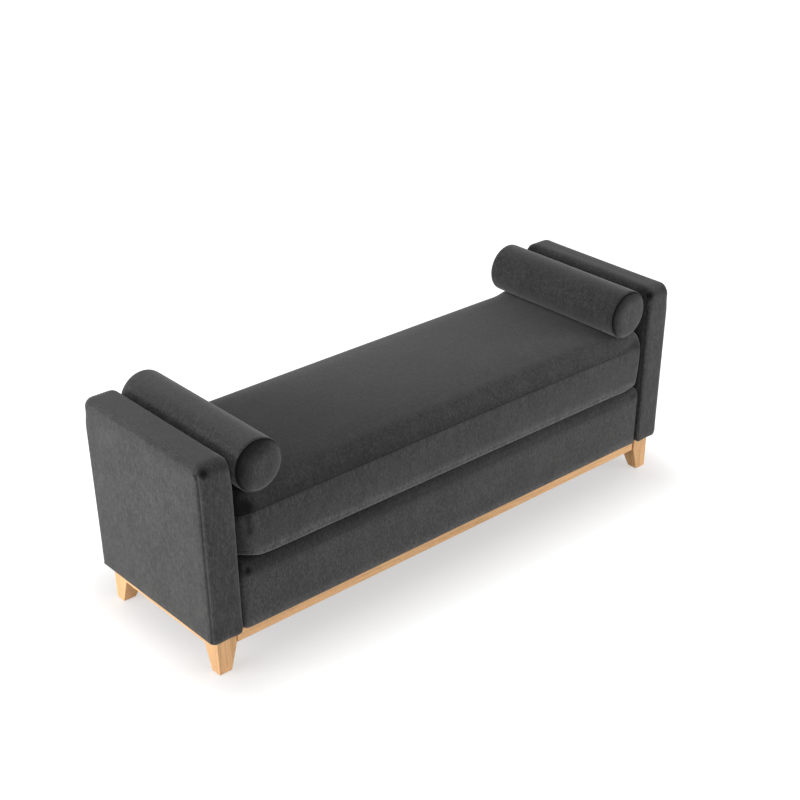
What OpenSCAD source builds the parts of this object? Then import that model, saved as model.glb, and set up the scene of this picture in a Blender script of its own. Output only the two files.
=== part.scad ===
// Upholstered bench: two square arms, a loose boxed seat cushion and two bolsters on an oak base.
// Lengths are in millimetres. X runs along the bench, the front faces -Y and Z points up.
// The origin lies on the floor under the middle of the bench.

/* [Overall] */
// Length over both arms
bench_length = 1720; // [1500:5:2000]
// Depth of the arms from front to back
arm_depth = 528; // [500:1:580]
// Height of the arm tops above the floor
arm_top = 625; // [600:1:690]

/* [Oak base] */
// Height of the rails' lower edges above the floor
rail_bottom = 76; // [60:1:110]
// Height of the rails and stretchers
rail_height = 38; // [34:1:48]
// Thickness of the rails and stretchers
rail_thickness = 22; // [18:1:26]
// Distance of the front and rear rails' faces behind the leg faces
rail_setback = 3; // [0:0.5:6]
// Side of the square foot of a leg
leg_foot = 35; // [28:1:45]
// Side of the square block at the top of a leg
leg_block = 61; // [54:1:70]
// Radius of the curve that leads the leg's taper into the rail
leg_flare = 8; // [4:1:12]
// Rounding of the leg's outer corner
leg_corner = 2.5; // [1:0.5:5]
// Distance from the arm's outer face in to the leg
end_overhang = 29; // [20:1:45]
// Distance from the arm's front face back to the leg
front_overhang = 20; // [10:1:30]
// Distance of the two stretchers from the bench's middle
stretcher_x = 255; // [180:1:300]
// Diameter of the dowels in the base
dowel_d = 8; // [6:0.5:10]
// Depth of a dowel in each of its two pieces
dowel_depth = 28; // [20:1:32]
// Diameter of the glide under each foot
glide_d = 24; // [18:1:28]
// Thickness of a glide's disc
glide_t = 4; // [3:0.5:6]
// How far a glide stands out of the foot
glide_stand = 1.5; // [1:0.1:2.5]

/* [Covering] */
// Thickness of the velvet
velvet = 2; // [1:0.1:3]
// Thickness of the foam on the arms and on the front and back of the seat base
foam = 12; // [8:1:16]
// Thickness of the felt at the ends of the seat base
end_felt = 3; // [2:0.5:6]
// How much of the seat base's round its flat underside cuts off
seat_tuck = 8; // [6:0.5:10]

/* [Arms] */
// Thickness of an arm
arm_thickness = 102; // [90:1:120]
// Rounding of an arm's long edges
arm_edge = 24; // [12:1:26]
// Rounding of an arm's corners, seen from the end of the bench
arm_corner = 34; // [27:1:45]
// How much of an arm's round its flat underside cuts off
arm_tuck = 16; // [6:0.5:22]
// Crown of an arm's two large faces
arm_crown = 3; // [0:0.5:5]
// Width of an arm's posts from front to back
post_width = 75; // [68:1:90]
// Height of an arm's top rail
arm_top_rail_h = 45; // [35:1:60]
// Height of an arm's bottom rail
arm_bottom_rail_h = 60; // [45:1:80]
// Thickness of the boards on both faces of an arm
arm_board = 5; // [3:0.5:8]

/* [Seat base] */
// Height of the deck, which the cushion rests on
deck_top = 308; // [290:1:330]
// Distance of the seat base's front face behind the arm fronts
seat_setback = 8; // [4:1:20]
// Rounding of the seat base's top edges
seat_top_edge = 20; // [14:1:26]
// Rounding of the seat base's bottom edges
seat_bottom_edge = 12; // [6:1:16]
// Rounding of the seat base's upright corners
seat_corner = 14; // [13:1:20]
// Thickness of the seat frame's rails and spreaders
frame_rail = 25; // [20:1:30]
// Height of the two spreaders
spreader_h = 70; // [50:1:90]
// Width of the cover that is turned in under the seat base
turn_in = 30; // [26:1:45]
// Thickness of the dust cloth
dust_t = 0.8; // [0.6:0.1:1.5]

/* [Springs] */
// Number of sinuous springs
spring_count = 11; // [7:1:12]
// Distance between neighbouring springs
spring_pitch = 128; // [90:1:128]
// Thickness of the spring wire
spring_wire = 3.6; // [3:0.1:4.2]
// Width of a spring across its bends
spring_width = 50; // [42:1:60]
// Number of cross bars in each spring
spring_bars = 21; // [17:2:25]
// Thickness of the clips' sheet steel
clip_t = 1.2; // [1:0.1:1.5]
// Width of a clip
clip_width = 16; // [12:1:20]
// Length of a clip's foot on the rail
clip_foot = 20; // [14:1:22]
// Thickness of the felt over the springs
felt_t = 3; // [2:0.5:5]

/* [Seat cushion] */
// Gap between the cushion's end and the arm
cushion_gap = 7; // [6:0.5:15]
// Distance of the cushion's seams behind the arm fronts
cushion_setback = 7; // [7:1:25]
// Height of the lower seam above the deck
low_seam = 16; // [8:0.5:20]
// How far the cushion's lower lip curves in below its seam
low_lip = 22; // [10:1:28]
// Height of the boxing between the two seams
boxing = 122; // [100:1:145]
// How much the middle of the upper seam stands above its ends
seam_lift = 5; // [0:0.5:10]
// How far the boxing bulges between its seams
boxing_bulge = 4; // [0:0.5:6]
// Height of a sewn seam's ridge
seam_ridge = 1.2; // [0.5:0.1:2]
// Rounding of the cushion's corners at the upper seam
cushion_corner = 28; // [20:1:60]
// Rounding of the cushion's corners at the lower seam
low_corner = 60; // [30:1:100]
// Height of the shoulder above the upper seam
shoulder_h = 60; // [30:1:66]
// Width of the shoulder
shoulder_w = 58; // [40:1:65]
// Rise of the top from the shoulder to the middle
top_crown = 9; // [2:0.5:15]
// Fibre wrap between the foam core and the boxing
wrap = 12; // [8:1:20]

/* [Zip] */
// Length of the zip in the back of the cushion
zip_length = 1040; // [600:10:1100]
// Width of the zip's two tapes together
zip_tape = 24; // [20:1:28]
// Thickness of the tapes
zip_tape_t = 2; // [1.5:0.1:2.5]
// Width of the zip's chain
zip_chain = 6; // [5:0.5:8]
// How far the chain stands out of the tapes
zip_chain_t = 1.8; // [1.2:0.1:2.2]
// Length of the slider
slider_length = 12; // [9:0.5:15]
// Wall of the slider
slider_wall = 1.4; // [1:0.1:1.6]
// Length of the pull
pull_length = 26; // [18:1:32]

/* [Bolsters] */
// Diameter of a bolster
bolster_d = 145; // [120:1:150]
// Distance of the bolsters' ends behind the arm fronts
bolster_setback = 2; // [2:0.5:30]
// How far the end discs are domed
bolster_dome = 11; // [4:0.5:12]
// Gap between a bolster and its arm
bolster_gap = 7; // [2:0.5:12]
// How far a bolster presses into the cushion
bolster_sink = 10; // [0:0.5:14]

/* [Fasteners] */
// Diameter of the bolts that hold the arms
bolt_d = 8; // [6:0.5:10]
// Diameter of the wood screws
screw_d = 5; // [4:0.5:6]
// Length of the screws that hold the upholstered parts on the base
base_screw_length = 70; // [60:1:80]
// Distance of the inner base screws from the stretchers
base_screw_inner = 60; // [40:1:120]
// Distance of the outer base screws from the rails' ends
base_screw_outer = 120; // [60:1:200]
// Distance of the end rails' screws from the rails' ends
base_screw_end = 73; // [50:1:120]
// Length of the screws in the seat frame
frame_screw_length = 65; // [50:1:75]
// Distance of the seat frame's screws from a spreader's edges
frame_screw_edge = 20; // [15:1:24]
// Depth of the arm frame's screws in the arm rails
arm_screw_grip = 30; // [20:1:40]
// Distance of the arm bolts from the post's inner edge
bolt_inset = 21; // [16:1:30]
// Distance of the arm bolts from the seat frame's top and bottom
bolt_edge = 40; // [30:1:60]

/* [Fits] */
// Clearance between pieces that move apart
lift_clearance = 0.3; // [0.2:0.05:0.5]
// Clearance round dowels, screws and bolts
bore_clearance = 0.15; // [0.1:0.05:0.3]
// Clearance between a cover and the foam in it
skin_clearance = 0.2; // [0.1:0.05:0.3]
// Clearance on all sides of the zip's slider
slider_clearance = 0.35; // [0.25:0.05:0.5]

/* [Hidden] */

OAK = "#deb27c";
PINE = "#e6cfa4";
PLY = "#c9a878";
STEEL = "#a9acb0";
BRASS = "#b59a5a";
FOAM = "#efe3b8";
FELT = "#8b8a86";
VELVET = "#4c4c4f";
BLACK = "#1f1f21";
NYLON = "#d8d6d0";

$fn = 48;
cut = 1;
fine_steps = 5;
coarse_steps = 3;
crown_share = 0.7;

half_length = bench_length / 2;
arm_y = arm_depth / 2;
arm_inner = half_length - arm_thickness;
base_top = rail_bottom + rail_height;
leg_x = half_length - end_overhang;
leg_y = arm_y - front_overhang;
rail_y = leg_y - rail_setback;
rail_half_x = leg_x - leg_block;
rail_half_y = leg_y - leg_block;
rail_mid_y = rail_y - rail_thickness / 2;
rail_mid_x = leg_x - rail_thickness / 2;
rail_ease = 1.5;
dowel_rise = rail_height / 4;
nail_r = 1.2;
nail_depth = 16;

frame_bottom = base_top + velvet;
seat_x = arm_inner - lift_clearance;
seat_y = arm_y - seat_setback;
frame_x = seat_x - velvet - end_felt;
frame_y = seat_y - velvet - foam;
inner_y = frame_y - frame_rail;
inner_x = frame_x - frame_rail;

bar_y = frame_y - clip_foot + spring_wire;
spring_seat = 0.2;
deck_inset = max(seat_top_edge + 6, foam + velvet + 4);
deck_x = seat_x - deck_inset;
deck_y = seat_y - deck_inset;
deck_under = deck_top - velvet - skin_clearance;
deck_foam_t = 24;
felt_bottom = deck_under - deck_foam_t - felt_t;
clip_height = spring_wire + 2 * spring_seat + 2 * clip_t;
frame_top = felt_bottom - clip_height;
spring_z = frame_top + clip_t + spring_seat;

arm_z = (arm_top + base_top - arm_tuck) / 2;
arm_half_h = (arm_top - base_top + arm_tuck) / 2;
arm_frame_x = arm_inner + velvet + foam;
arm_frame_t = arm_thickness - 2 * (velvet + foam);
arm_frame_y = arm_y - velvet - foam;
arm_frame_top = arm_top - velvet - foam;
arm_post_x = arm_frame_x + arm_board;
arm_post_t = arm_frame_t - 2 * arm_board;
arm_rail_y = arm_frame_y - post_width;

bolt_y = arm_rail_y + bolt_inset;
bolt_rows = [frame_bottom + bolt_edge, frame_top - bolt_edge];
bolt_head_h = 5.5;
bolt_head_r = bolt_d * 0.84;
washer_r = 10;
washer_t = 2;
nut_flange_r = 10;
nut_flange_t = 1.6;
nut_length = 16;
bolt_reach = nut_length + 6;

screw_head_r = screw_d;
screw_head_h = 3;
screw_sink = 8;
base_screw_xs = [stretcher_x - base_screw_inner, rail_half_x - base_screw_outer];
base_screw_y = rail_half_y - base_screw_end;
frame_screw_rows = [frame_bottom + frame_screw_edge, frame_bottom + spreader_h - frame_screw_edge];
arm_screw_length = post_width + arm_screw_grip;

cushion_bottom = deck_top + lift_clearance;
cushion_x = arm_inner - cushion_gap;
cushion_y = arm_y - cushion_setback;
seam_low_z = deck_top + low_seam;
seam_high_z = seam_low_z + boxing;
shoulder_top = seam_high_z + shoulder_h;
core_margin = wrap + shoulder_w / 3;
core_bottom = cushion_bottom + velvet;
core_top = seam_high_z + shoulder_h / 2;

zip_z = seam_low_z + boxing / 2;
zip_y = cushion_y + boxing_bulge - velvet;
zip_back = zip_y - zip_tape_t;
slider_x = zip_length / 2 - slider_length;

bolster_r = bolster_d / 2;
bolster_x = arm_inner - bolster_gap - bolster_r;
bolster_inset = cushion_x - bolster_x;
bolster_half = arm_y - bolster_setback - bolster_dome;
crown_reach = cushion_y - shoulder_w;
bolster_z = top_height(bolster_inset) + lift_clearance + bolster_r - bolster_sink;

// Height of the cushion's top at a distance in from its edge, beyond the shoulder
function top_height(inset) =
    shoulder_top + top_crown * (1 - pow(1 - (inset - shoulder_w) / crown_reach, 2));

// Points between two corners, without the corners themselves
function between(a, b, parts) = [for (i = [1 : 1 : parts - 1]) a + (b - a) * i / parts];

// Rounded rectangle, counter-clockwise, with its long and short sides divided
function outline(hx, hy, r, steps, nx, ny) = [
    for (q = [0 : 3])
        let (
            corner = [[1, 1], [-1, 1], [-1, -1], [1, -1]],
            core = [hx - r, hy - r],
            here = [corner[q].x * core.x, corner[q].y * core.y],
            there = [corner[(q + 1) % 4].x * core.x, corner[(q + 1) % 4].y * core.y],
            away = r * [cos(90 * q + 90), sin(90 * q + 90)]
        )
        each concat(
            [for (k = [0 : steps])
                here + r * [cos(90 * (q + k / steps)), sin(90 * (q + k / steps))]],
            between(here + away, there + away, q % 2 == 0 ? nx : ny)
        )
];

// Closed form through rings of [inset, height, corner radius, lift of the ring's middle]
module lofted_block(hx, hy, rings, steps, nx, ny) {
    loops = [
        for (g = rings)
            [for (p = outline(hx - g[0], hy - g[0], g[2], steps, nx, ny))
                [p.x, p.y, g[1] + g[3] * (1 - pow(p.x / hx, 2))]]
    ];
    n = len(loops[0]);
    top = (len(rings) - 1) * n;
    first = rings[0];
    last = rings[len(rings) - 1];
    points = concat(
        [for (l = loops) each l],
        [[0, 0, first[1] + first[3]], [0, 0, last[1] + last[3]]]
    );
    walls = [
        for (i = [0 : len(rings) - 2], j = [0 : n - 1])
            let (k = (j + 1) % n, low = i * n, high = low + n)
            each [[low + j, high + j, high + k], [low + j, high + k, low + k]]
    ];
    ends = [
        for (j = [0 : n - 1])
            let (k = (j + 1) % n)
            each [[top + n, j, k], [top + n + 1, top + k, top + j]]
    ];
    polyhedron(points = points, faces = concat(walls, ends), convexity = 4);
}

// Rings of a quarter-round edge, from the face to the side
function edge_rings(r, corner, steps) = [
    for (k = [0 : steps])
        let (inset = r * (1 - sin(90 * k / steps)))
        [inset, r * (1 - cos(90 * k / steps)), max(corner - inset, 1), 0]
];

// The same rings measured down from a top face, from the side to the face
function top_rings(rings, height) = [
    for (i = [len(rings) - 1 : -1 : 0]) [rings[i][0], height - rings[i][1], rings[i][2], rings[i][3]]
];

function raised(rings, by) = [for (g = rings) [g[0], g[1] + by, g[2], g[3]]];

// Cuts a padded form flat at the bottom, where the cover is pulled in under the frame
module flat_bottom(inset, depth) {
    difference() {
        children();
        translate([-half_length, -arm_y, base_top - 2 * depth])
            cube([bench_length, arm_depth, 2 * depth + inset]);
    }
}

// Arm at the positive end, drawn in by an inset, with its grain of facets set by steps
module arm_form(inset, steps) {
    reach = arm_half_h - inset;
    edge = arm_edge - inset;
    face = [
        for (share = [1, 0.5])
            [share * crown_share * reach, arm_crown * pow(1 - share, 2), arm_corner, 0]
    ];
    lip = raised(edge_rings(edge, arm_corner - inset, steps),
        arm_crown * pow(1 - edge / reach / crown_share, 2));
    side = concat(face, lip);
    flat_bottom(inset, arm_tuck)
        translate([arm_inner + inset, 0, arm_z])
            rotate([90, 0, 90])
                lofted_block(arm_y - inset, reach,
                    concat(side, top_rings(side, arm_thickness - 2 * inset)), steps, 2, 2);
}

// Upholstered box between the arms, drawn in by an inset
module seat_form(inset, steps) {
    low = edge_rings(seat_bottom_edge - inset, seat_corner - inset, steps);
    high = edge_rings(seat_top_edge - inset, seat_corner - inset, steps);
    height = deck_top - base_top + seat_tuck - 2 * inset;
    flat_bottom(inset, seat_tuck)
        translate([0, 0, base_top - seat_tuck + inset])
            lofted_block(seat_x - inset, seat_y - inset, concat(low, top_rings(high, height)),
                steps, 2, 1);
}

// Screw with its head's face at the origin and its shank along +Z
module wood_screw(length) {
    rotate_extrude()
        polygon([
            [0, 0], [screw_head_r, 0], [screw_d / 2, screw_head_h],
            [screw_d / 2, length - screw_d], [0, length]
        ]);
}

// Room for a wood screw, with a bore in front of its head
module screw_room(length, sink) {
    r = screw_d / 2 + bore_clearance;
    head = screw_head_r + bore_clearance;
    translate([0, 0, -sink])
        cylinder(r = head, h = sink);
    cylinder(r1 = head, r2 = r, h = screw_head_h + bore_clearance);
    cylinder(r = r, h = length + bore_clearance);
}

// Places its child on the four corners of the bench
module at_corners() {
    for (sx = [-1, 1])
        for (sy = [-1, 1])
            mirror([sx < 0 ? 1 : 0, 0, 0])
                mirror([0, sy < 0 ? 1 : 0, 0])
                    children();
}

// One end of a base joint: two dowels along +X, from the joint's face
module dowel_pair(r, length) {
    for (side = [-1, 1])
        translate([-length / 2, 0, rail_bottom + rail_height / 2 + side * dowel_rise])
            rotate([0, 90, 0])
                cylinder(r = r, h = length);
}

// All dowels of the base, or the room for them
module dowel_set(r, length) {
    at_corners() {
        translate([rail_half_x, rail_mid_y, 0])
            dowel_pair(r, length);
        translate([rail_mid_x, rail_half_y, 0])
            rotate(90)
                dowel_pair(r, length);
        translate([stretcher_x, rail_y - rail_thickness, 0])
            rotate(90)
                dowel_pair(r, min(length, 2 * (rail_thickness - 4)));
    }
}

module dowel_room() {
    dowel_set(dowel_d / 2 + bore_clearance, 2 * (dowel_depth + bore_clearance));
}

// Places its child at each screw that comes up through the base
module at_base_screws() {
    at_corners() {
        for (x = base_screw_xs)
            translate([x, rail_mid_y, rail_bottom + screw_sink])
                children();
        translate([rail_mid_x, base_screw_y, rail_bottom + screw_sink])
            children();
    }
}

module base_screw_room() {
    at_base_screws()
        screw_room(base_screw_length, screw_sink + cut);
}

// Side view of a leg, from its outer face inwards
module leg_profile() {
    arc = [
        for (k = [0 : fine_steps])
            let (turn = 180 - 90 * k / fine_steps)
            [leg_block + leg_flare * cos(turn), rail_bottom - leg_flare + leg_flare * sin(turn)]
    ];
    polygon(concat([[0, base_top], [0, glide_stand], [leg_foot, glide_stand]], arc, [[leg_block, base_top]]));
}

// Leg at the positive end, at the back
module leg() {
    difference() {
        intersection() {
            translate([leg_x, leg_y, 0])
                rotate([90, 0, 0])
                    mirror([1, 0, 0])
                        linear_extrude(leg_block)
                            leg_profile();
            translate([leg_x, leg_y, 0])
                rotate([90, 0, -90])
                    linear_extrude(leg_block)
                        leg_profile();
            translate([leg_x - leg_block, leg_y - leg_block, 0])
                linear_extrude(base_top)
                    leg_plan();
        }
        dowel_room();
        translate([leg_x - leg_foot / 2, leg_y - leg_foot / 2, 0]) {
            cylinder(d = glide_d + 2 * bore_clearance, h = glide_t + bore_clearance);
            cylinder(r = nail_r + bore_clearance, h = glide_t + nail_depth + bore_clearance);
        }
    }
}

// Square of the leg's block with its outer corner rounded
module leg_plan() {
    difference() {
        square(leg_block);
        translate([leg_block - leg_corner, leg_block - leg_corner])
            square(leg_corner + cut);
    }
    translate([leg_block - leg_corner, leg_block - leg_corner])
        circle(r = leg_corner);
}

module leg_front_left() {
    color(OAK) mirror([1, 0, 0]) mirror([0, 1, 0]) leg();
}

module leg_front_right() {
    color(OAK) mirror([0, 1, 0]) leg();
}

module leg_rear_left() {
    color(OAK) mirror([1, 0, 0]) leg();
}

module leg_rear_right() {
    color(OAK) leg();
}

// Section of a rail with its two lower edges eased, outer face at 0
module rail_section() {
    polygon([
        [0, base_top], [0, rail_bottom + rail_ease], [rail_ease, rail_bottom],
        [rail_thickness - rail_ease, rail_bottom], [rail_thickness, rail_bottom + rail_ease],
        [rail_thickness, base_top]
    ]);
}

module long_rail() {
    difference() {
        translate([-rail_half_x, rail_y, 0])
            rotate([90, 0, 90])
                mirror([1, 0, 0])
                    linear_extrude(2 * rail_half_x)
                        rail_section();
        dowel_room();
        base_screw_room();
    }
}

module end_rail() {
    difference() {
        translate([leg_x, rail_half_y, 0])
            rotate([90, 0, 0])
                mirror([1, 0, 0])
                    linear_extrude(2 * rail_half_y)
                        rail_section();
        dowel_room();
        base_screw_room();
    }
}

module rail_front() {
    color(OAK) mirror([0, 1, 0]) long_rail();
}

module rail_rear() {
    color(OAK) long_rail();
}

module rail_left() {
    color(OAK) mirror([1, 0, 0]) end_rail();
}

module rail_right() {
    color(OAK) end_rail();
}

module base_stretcher(side) {
    inner = rail_y - rail_thickness;
    difference() {
        translate([side * stretcher_x - rail_thickness / 2, -inner, rail_bottom])
            cube([rail_thickness, 2 * inner, rail_height]);
        dowel_room();
    }
}

module base_stretcher_left() {
    color(OAK) base_stretcher(-1);
}

module base_stretcher_right() {
    color(OAK) base_stretcher(1);
}

module base_dowels() {
    color(PINE) dowel_set(dowel_d / 2, 2 * dowel_depth);
}

module foot_glides() {
    color(NYLON)
        at_corners()
            translate([leg_x - leg_foot / 2, leg_y - leg_foot / 2, 0])
                rotate_extrude()
                    polygon([
                        [0, 0], [glide_d / 2 - 1, 0], [glide_d / 2, 1], [glide_d / 2, glide_t],
                        [nail_r, glide_t], [nail_r, glide_t + nail_depth - 2], [0, glide_t + nail_depth]
                    ]);
}

module base_screws() {
    color(STEEL) at_base_screws() wood_screw(base_screw_length);
}

// Places its child at each screw of the seat frame, which points along +Y into the frame
module at_frame_screws() {
    at_corners()
        for (x = [frame_x - frame_rail / 2, stretcher_x])
            for (z = frame_screw_rows)
                translate([x, frame_y, z])
                    rotate([90, 0, 0])
                        children();
}

module frame_screw_room() {
    at_frame_screws()
        screw_room(frame_screw_length, cut);
}

// Places its child at each bolt of the arms, pointing along +X from the seat frame's inner face
module at_arm_bolts() {
    at_corners()
        for (z = bolt_rows)
            translate([inner_x, bolt_y, z])
                rotate([0, 90, 0])
                    children();
}

module bolt_room() {
    at_arm_bolts()
        translate([0, 0, -cut])
            cylinder(r = bolt_d / 2 + bore_clearance, h = arm_post_x + bolt_reach + 2 - inner_x + cut);
}

module seat_long_rail() {
    difference() {
        translate([-frame_x, inner_y, frame_bottom])
            cube([2 * frame_x, frame_rail, frame_top - frame_bottom]);
        base_screw_room();
        frame_screw_room();
    }
}

module seat_end_rail() {
    difference() {
        translate([inner_x, -inner_y, frame_bottom])
            cube([frame_rail, 2 * inner_y, frame_top - frame_bottom]);
        frame_screw_room();
        bolt_room();
    }
}

module seat_spreader(side) {
    difference() {
        translate([side * stretcher_x - frame_rail / 2, -inner_y, frame_bottom])
            cube([frame_rail, 2 * inner_y, spreader_h]);
        frame_screw_room();
    }
}

module seat_rail_front() {
    color(PINE) mirror([0, 1, 0]) seat_long_rail();
}

module seat_rail_rear() {
    color(PINE) seat_long_rail();
}

module seat_rail_left() {
    color(PINE) mirror([1, 0, 0]) seat_end_rail();
}

module seat_rail_right() {
    color(PINE) seat_end_rail();
}

module seat_spreader_left() {
    color(PINE) seat_spreader(-1);
}

module seat_spreader_right() {
    color(PINE) seat_spreader(1);
}

module seat_frame_screws() {
    color(STEEL) at_frame_screws() wood_screw(frame_screw_length);
}

// One side of a sinuous spring's flat wire, at an offset from its middle line
function spring_side(offset) =
    let (
        pitch = 2 * bar_y / (spring_bars - 1),
        bend = pitch / 2,
        straight = spring_width / 2 - bend
    )
    concat(
        [[-straight, offset - bar_y]],
        [for (bar = [0 : spring_bars - 2], k = [0 : coarse_steps + 1])
            let (
                way = bar % 2 == 0 ? 1 : -1,
                turn = 180 * k / (coarse_steps + 1) - 90,
                r = bend - way * offset
            )
            [way * (straight + r * cos(turn)), bar * pitch - bar_y + bend + r * sin(turn)]],
        [[straight, bar_y + offset]]
    );

function reversed(list) = [for (i = [len(list) - 1 : -1 : 0]) list[i]];

function spring_xs() = [
    for (i = [0 : spring_count - 1]) (i - (spring_count - 1) / 2) * spring_pitch
];

module seat_springs() {
    half = spring_wire / 2;
    color(STEEL)
        for (x = spring_xs())
            translate([x, 0, spring_z])
                linear_extrude(spring_wire)
                    polygon(concat(spring_side(half), reversed(spring_side(-half))));
}

// Section of a clip over the spring's end bar, with the bar's middle at 0 and the rail at its foot
module clip_section() {
    inner = spring_wire + 2 * spring_seat;
    tail = clip_foot - spring_wire - inner / 2;
    translate([-inner / 2 - clip_t, 0])
        square([clip_t, clip_height]);
    translate([-inner / 2 - clip_t, 0])
        square([inner + clip_t + tail, clip_t]);
    translate([-inner / 2 - clip_t, clip_height - clip_t])
        square([inner + clip_t, clip_t]);
}

module spring_clips() {
    color(STEEL)
        for (x = spring_xs())
            for (side = [-1, 1])
                translate([x, side * bar_y, frame_top])
                    rotate([90, 0, side * 90])
                        translate([0, 0, -clip_width / 2])
                            linear_extrude(clip_width)
                                mirror([1, 0, 0])
                                    clip_section();
}

module spring_felt() {
    color(FELT)
        translate([-deck_x, -deck_y, felt_bottom])
            cube([2 * deck_x, 2 * deck_y, felt_t]);
}

module deck_foam() {
    color(FOAM)
        translate([-deck_x, -deck_y, felt_bottom + felt_t])
            cube([2 * deck_x, 2 * deck_y, deck_foam_t]);
}

module seat_base_foam() {
    color(FOAM)
        difference() {
            seat_form(velvet + skin_clearance, coarse_steps);
            translate([-frame_x, -frame_y, base_top])
                cube([2 * frame_x, 2 * frame_y, felt_bottom - base_top]);
            translate([-deck_x, -deck_y, felt_bottom - cut])
                cube([2 * deck_x, 2 * deck_y, deck_top - felt_bottom + cut]);
            bolt_room();
        }
}

module seat_base_cover() {
    opening_x = frame_x - turn_in;
    opening_y = frame_y - turn_in;
    color(VELVET)
        difference() {
            seat_form(0, fine_steps);
            seat_form(velvet, coarse_steps);
            translate([-opening_x, -opening_y, base_top - cut])
                cube([2 * opening_x, 2 * opening_y, velvet + 2 * cut]);
            base_screw_room();
            bolt_room();
        }
}

module dust_cloth() {
    sheet_x = frame_x - turn_in - cut;
    sheet_y = frame_y - turn_in - cut;
    color(BLACK)
        translate([-sheet_x, -sheet_y, frame_bottom - dust_t])
            cube([2 * sheet_x, 2 * sheet_y, dust_t]);
}

// Places its child at each screw of the arm frames, pointing along -Y into the post
module at_arm_screws() {
    at_corners()
        for (z = [frame_bottom + arm_bottom_rail_h / 2, arm_frame_top - arm_top_rail_h / 2])
            for (side = [-1, 1])
                translate([arm_post_x + arm_post_t / 2 + side * arm_post_t / 4, arm_frame_y, z])
                    rotate([90, 0, 0])
                        children();
}

module arm_screw_room() {
    at_arm_screws()
        screw_room(arm_screw_length, cut);
}

// Rear post of the arm at the positive end
module arm_post() {
    difference() {
        translate([arm_post_x, arm_rail_y, frame_bottom])
            cube([arm_post_t, post_width, arm_frame_top - frame_bottom]);
        arm_screw_room();
        bolt_room();
        at_arm_bolts()
            translate([0, 0, arm_post_x - inner_x - cut]) {
                cylinder(r = nut_flange_r + bore_clearance, h = nut_flange_t + cut);
                cylinder(r = bolt_d / 2 + 2 + bore_clearance, h = nut_length + bore_clearance + cut);
            }
    }
}

module arm_rail(bottom, height) {
    difference() {
        translate([arm_post_x, -arm_rail_y, bottom])
            cube([arm_post_t, 2 * arm_rail_y, height]);
        arm_screw_room();
        base_screw_room();
    }
}

module arm_board_at(x) {
    difference() {
        translate([x, -arm_frame_y, frame_bottom])
            cube([arm_board, 2 * arm_frame_y, arm_frame_top - frame_bottom]);
        bolt_room();
    }
}

module arm_foam() {
    difference() {
        arm_form(velvet + skin_clearance, coarse_steps);
        translate([arm_frame_x, -arm_frame_y, base_top])
            cube([arm_frame_t, 2 * arm_frame_y, arm_frame_top - base_top]);
        bolt_room();
    }
}

module arm_cover() {
    difference() {
        arm_form(0, fine_steps);
        arm_form(velvet, coarse_steps);
        bolt_room();
        base_screw_room();
    }
}

module arm_left_front_post() {
    color(PINE) mirror([1, 0, 0]) mirror([0, 1, 0]) arm_post();
}

module arm_left_rear_post() {
    color(PINE) mirror([1, 0, 0]) arm_post();
}

module arm_left_top_rail() {
    color(PINE) mirror([1, 0, 0]) arm_rail(arm_frame_top - arm_top_rail_h, arm_top_rail_h);
}

module arm_left_bottom_rail() {
    color(PINE) mirror([1, 0, 0]) arm_rail(frame_bottom, arm_bottom_rail_h);
}

module arm_left_inner_board() {
    color(PLY) mirror([1, 0, 0]) arm_board_at(arm_frame_x);
}

module arm_left_outer_board() {
    color(PLY) mirror([1, 0, 0]) arm_board_at(arm_post_x + arm_post_t);
}

module arm_left_foam() {
    color(FOAM) mirror([1, 0, 0]) arm_foam();
}

module arm_left_cover() {
    color(VELVET) mirror([1, 0, 0]) arm_cover();
}

module arm_right_front_post() {
    color(PINE) mirror([0, 1, 0]) arm_post();
}

module arm_right_rear_post() {
    color(PINE) arm_post();
}

module arm_right_top_rail() {
    color(PINE) arm_rail(arm_frame_top - arm_top_rail_h, arm_top_rail_h);
}

module arm_right_bottom_rail() {
    color(PINE) arm_rail(frame_bottom, arm_bottom_rail_h);
}

module arm_right_inner_board() {
    color(PLY) arm_board_at(arm_frame_x);
}

module arm_right_outer_board() {
    color(PLY) arm_board_at(arm_post_x + arm_post_t);
}

module arm_right_foam() {
    color(FOAM) arm_foam();
}

module arm_right_cover() {
    color(VELVET) arm_cover();
}

module arm_frame_screws() {
    color(STEEL) at_arm_screws() wood_screw(arm_screw_length);
}

module arm_bolts() {
    color(STEEL)
        at_arm_bolts()
            translate([0, 0, -washer_t]) {
                cylinder(d = bolt_d, h = arm_post_x + bolt_reach + washer_t - inner_x);
                translate([0, 0, -bolt_head_h])
                    cylinder(r = bolt_head_r, h = bolt_head_h, $fn = 6);
            }
}

module arm_bolt_washers() {
    color(STEEL)
        at_arm_bolts()
            translate([0, 0, -washer_t])
                difference() {
                    cylinder(r = washer_r, h = washer_t);
                    translate([0, 0, -cut])
                        cylinder(r = bolt_d / 2 + bore_clearance, h = washer_t + 2 * cut);
                }
}

module arm_insert_nuts() {
    color(BRASS)
        at_arm_bolts()
            translate([0, 0, arm_post_x - inner_x])
                difference() {
                    union() {
                        cylinder(r = nut_flange_r, h = nut_flange_t);
                        cylinder(r = bolt_d / 2 + 2, h = nut_length);
                    }
                    translate([0, 0, -cut])
                        cylinder(r = bolt_d / 2 + bore_clearance, h = nut_length + 2 * cut);
                }
}

// Corner radius of a cushion ring that still fits inside the ring
function fitting_corner(r, inset) = min(r, cushion_y - inset - 2);

function seam_rings(z, corner, lift) = [
    [0, z - 2 * seam_ridge, corner, lift],
    [-seam_ridge, z, corner + seam_ridge, lift],
    [0, z + 2 * seam_ridge, corner, lift]
];

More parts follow.
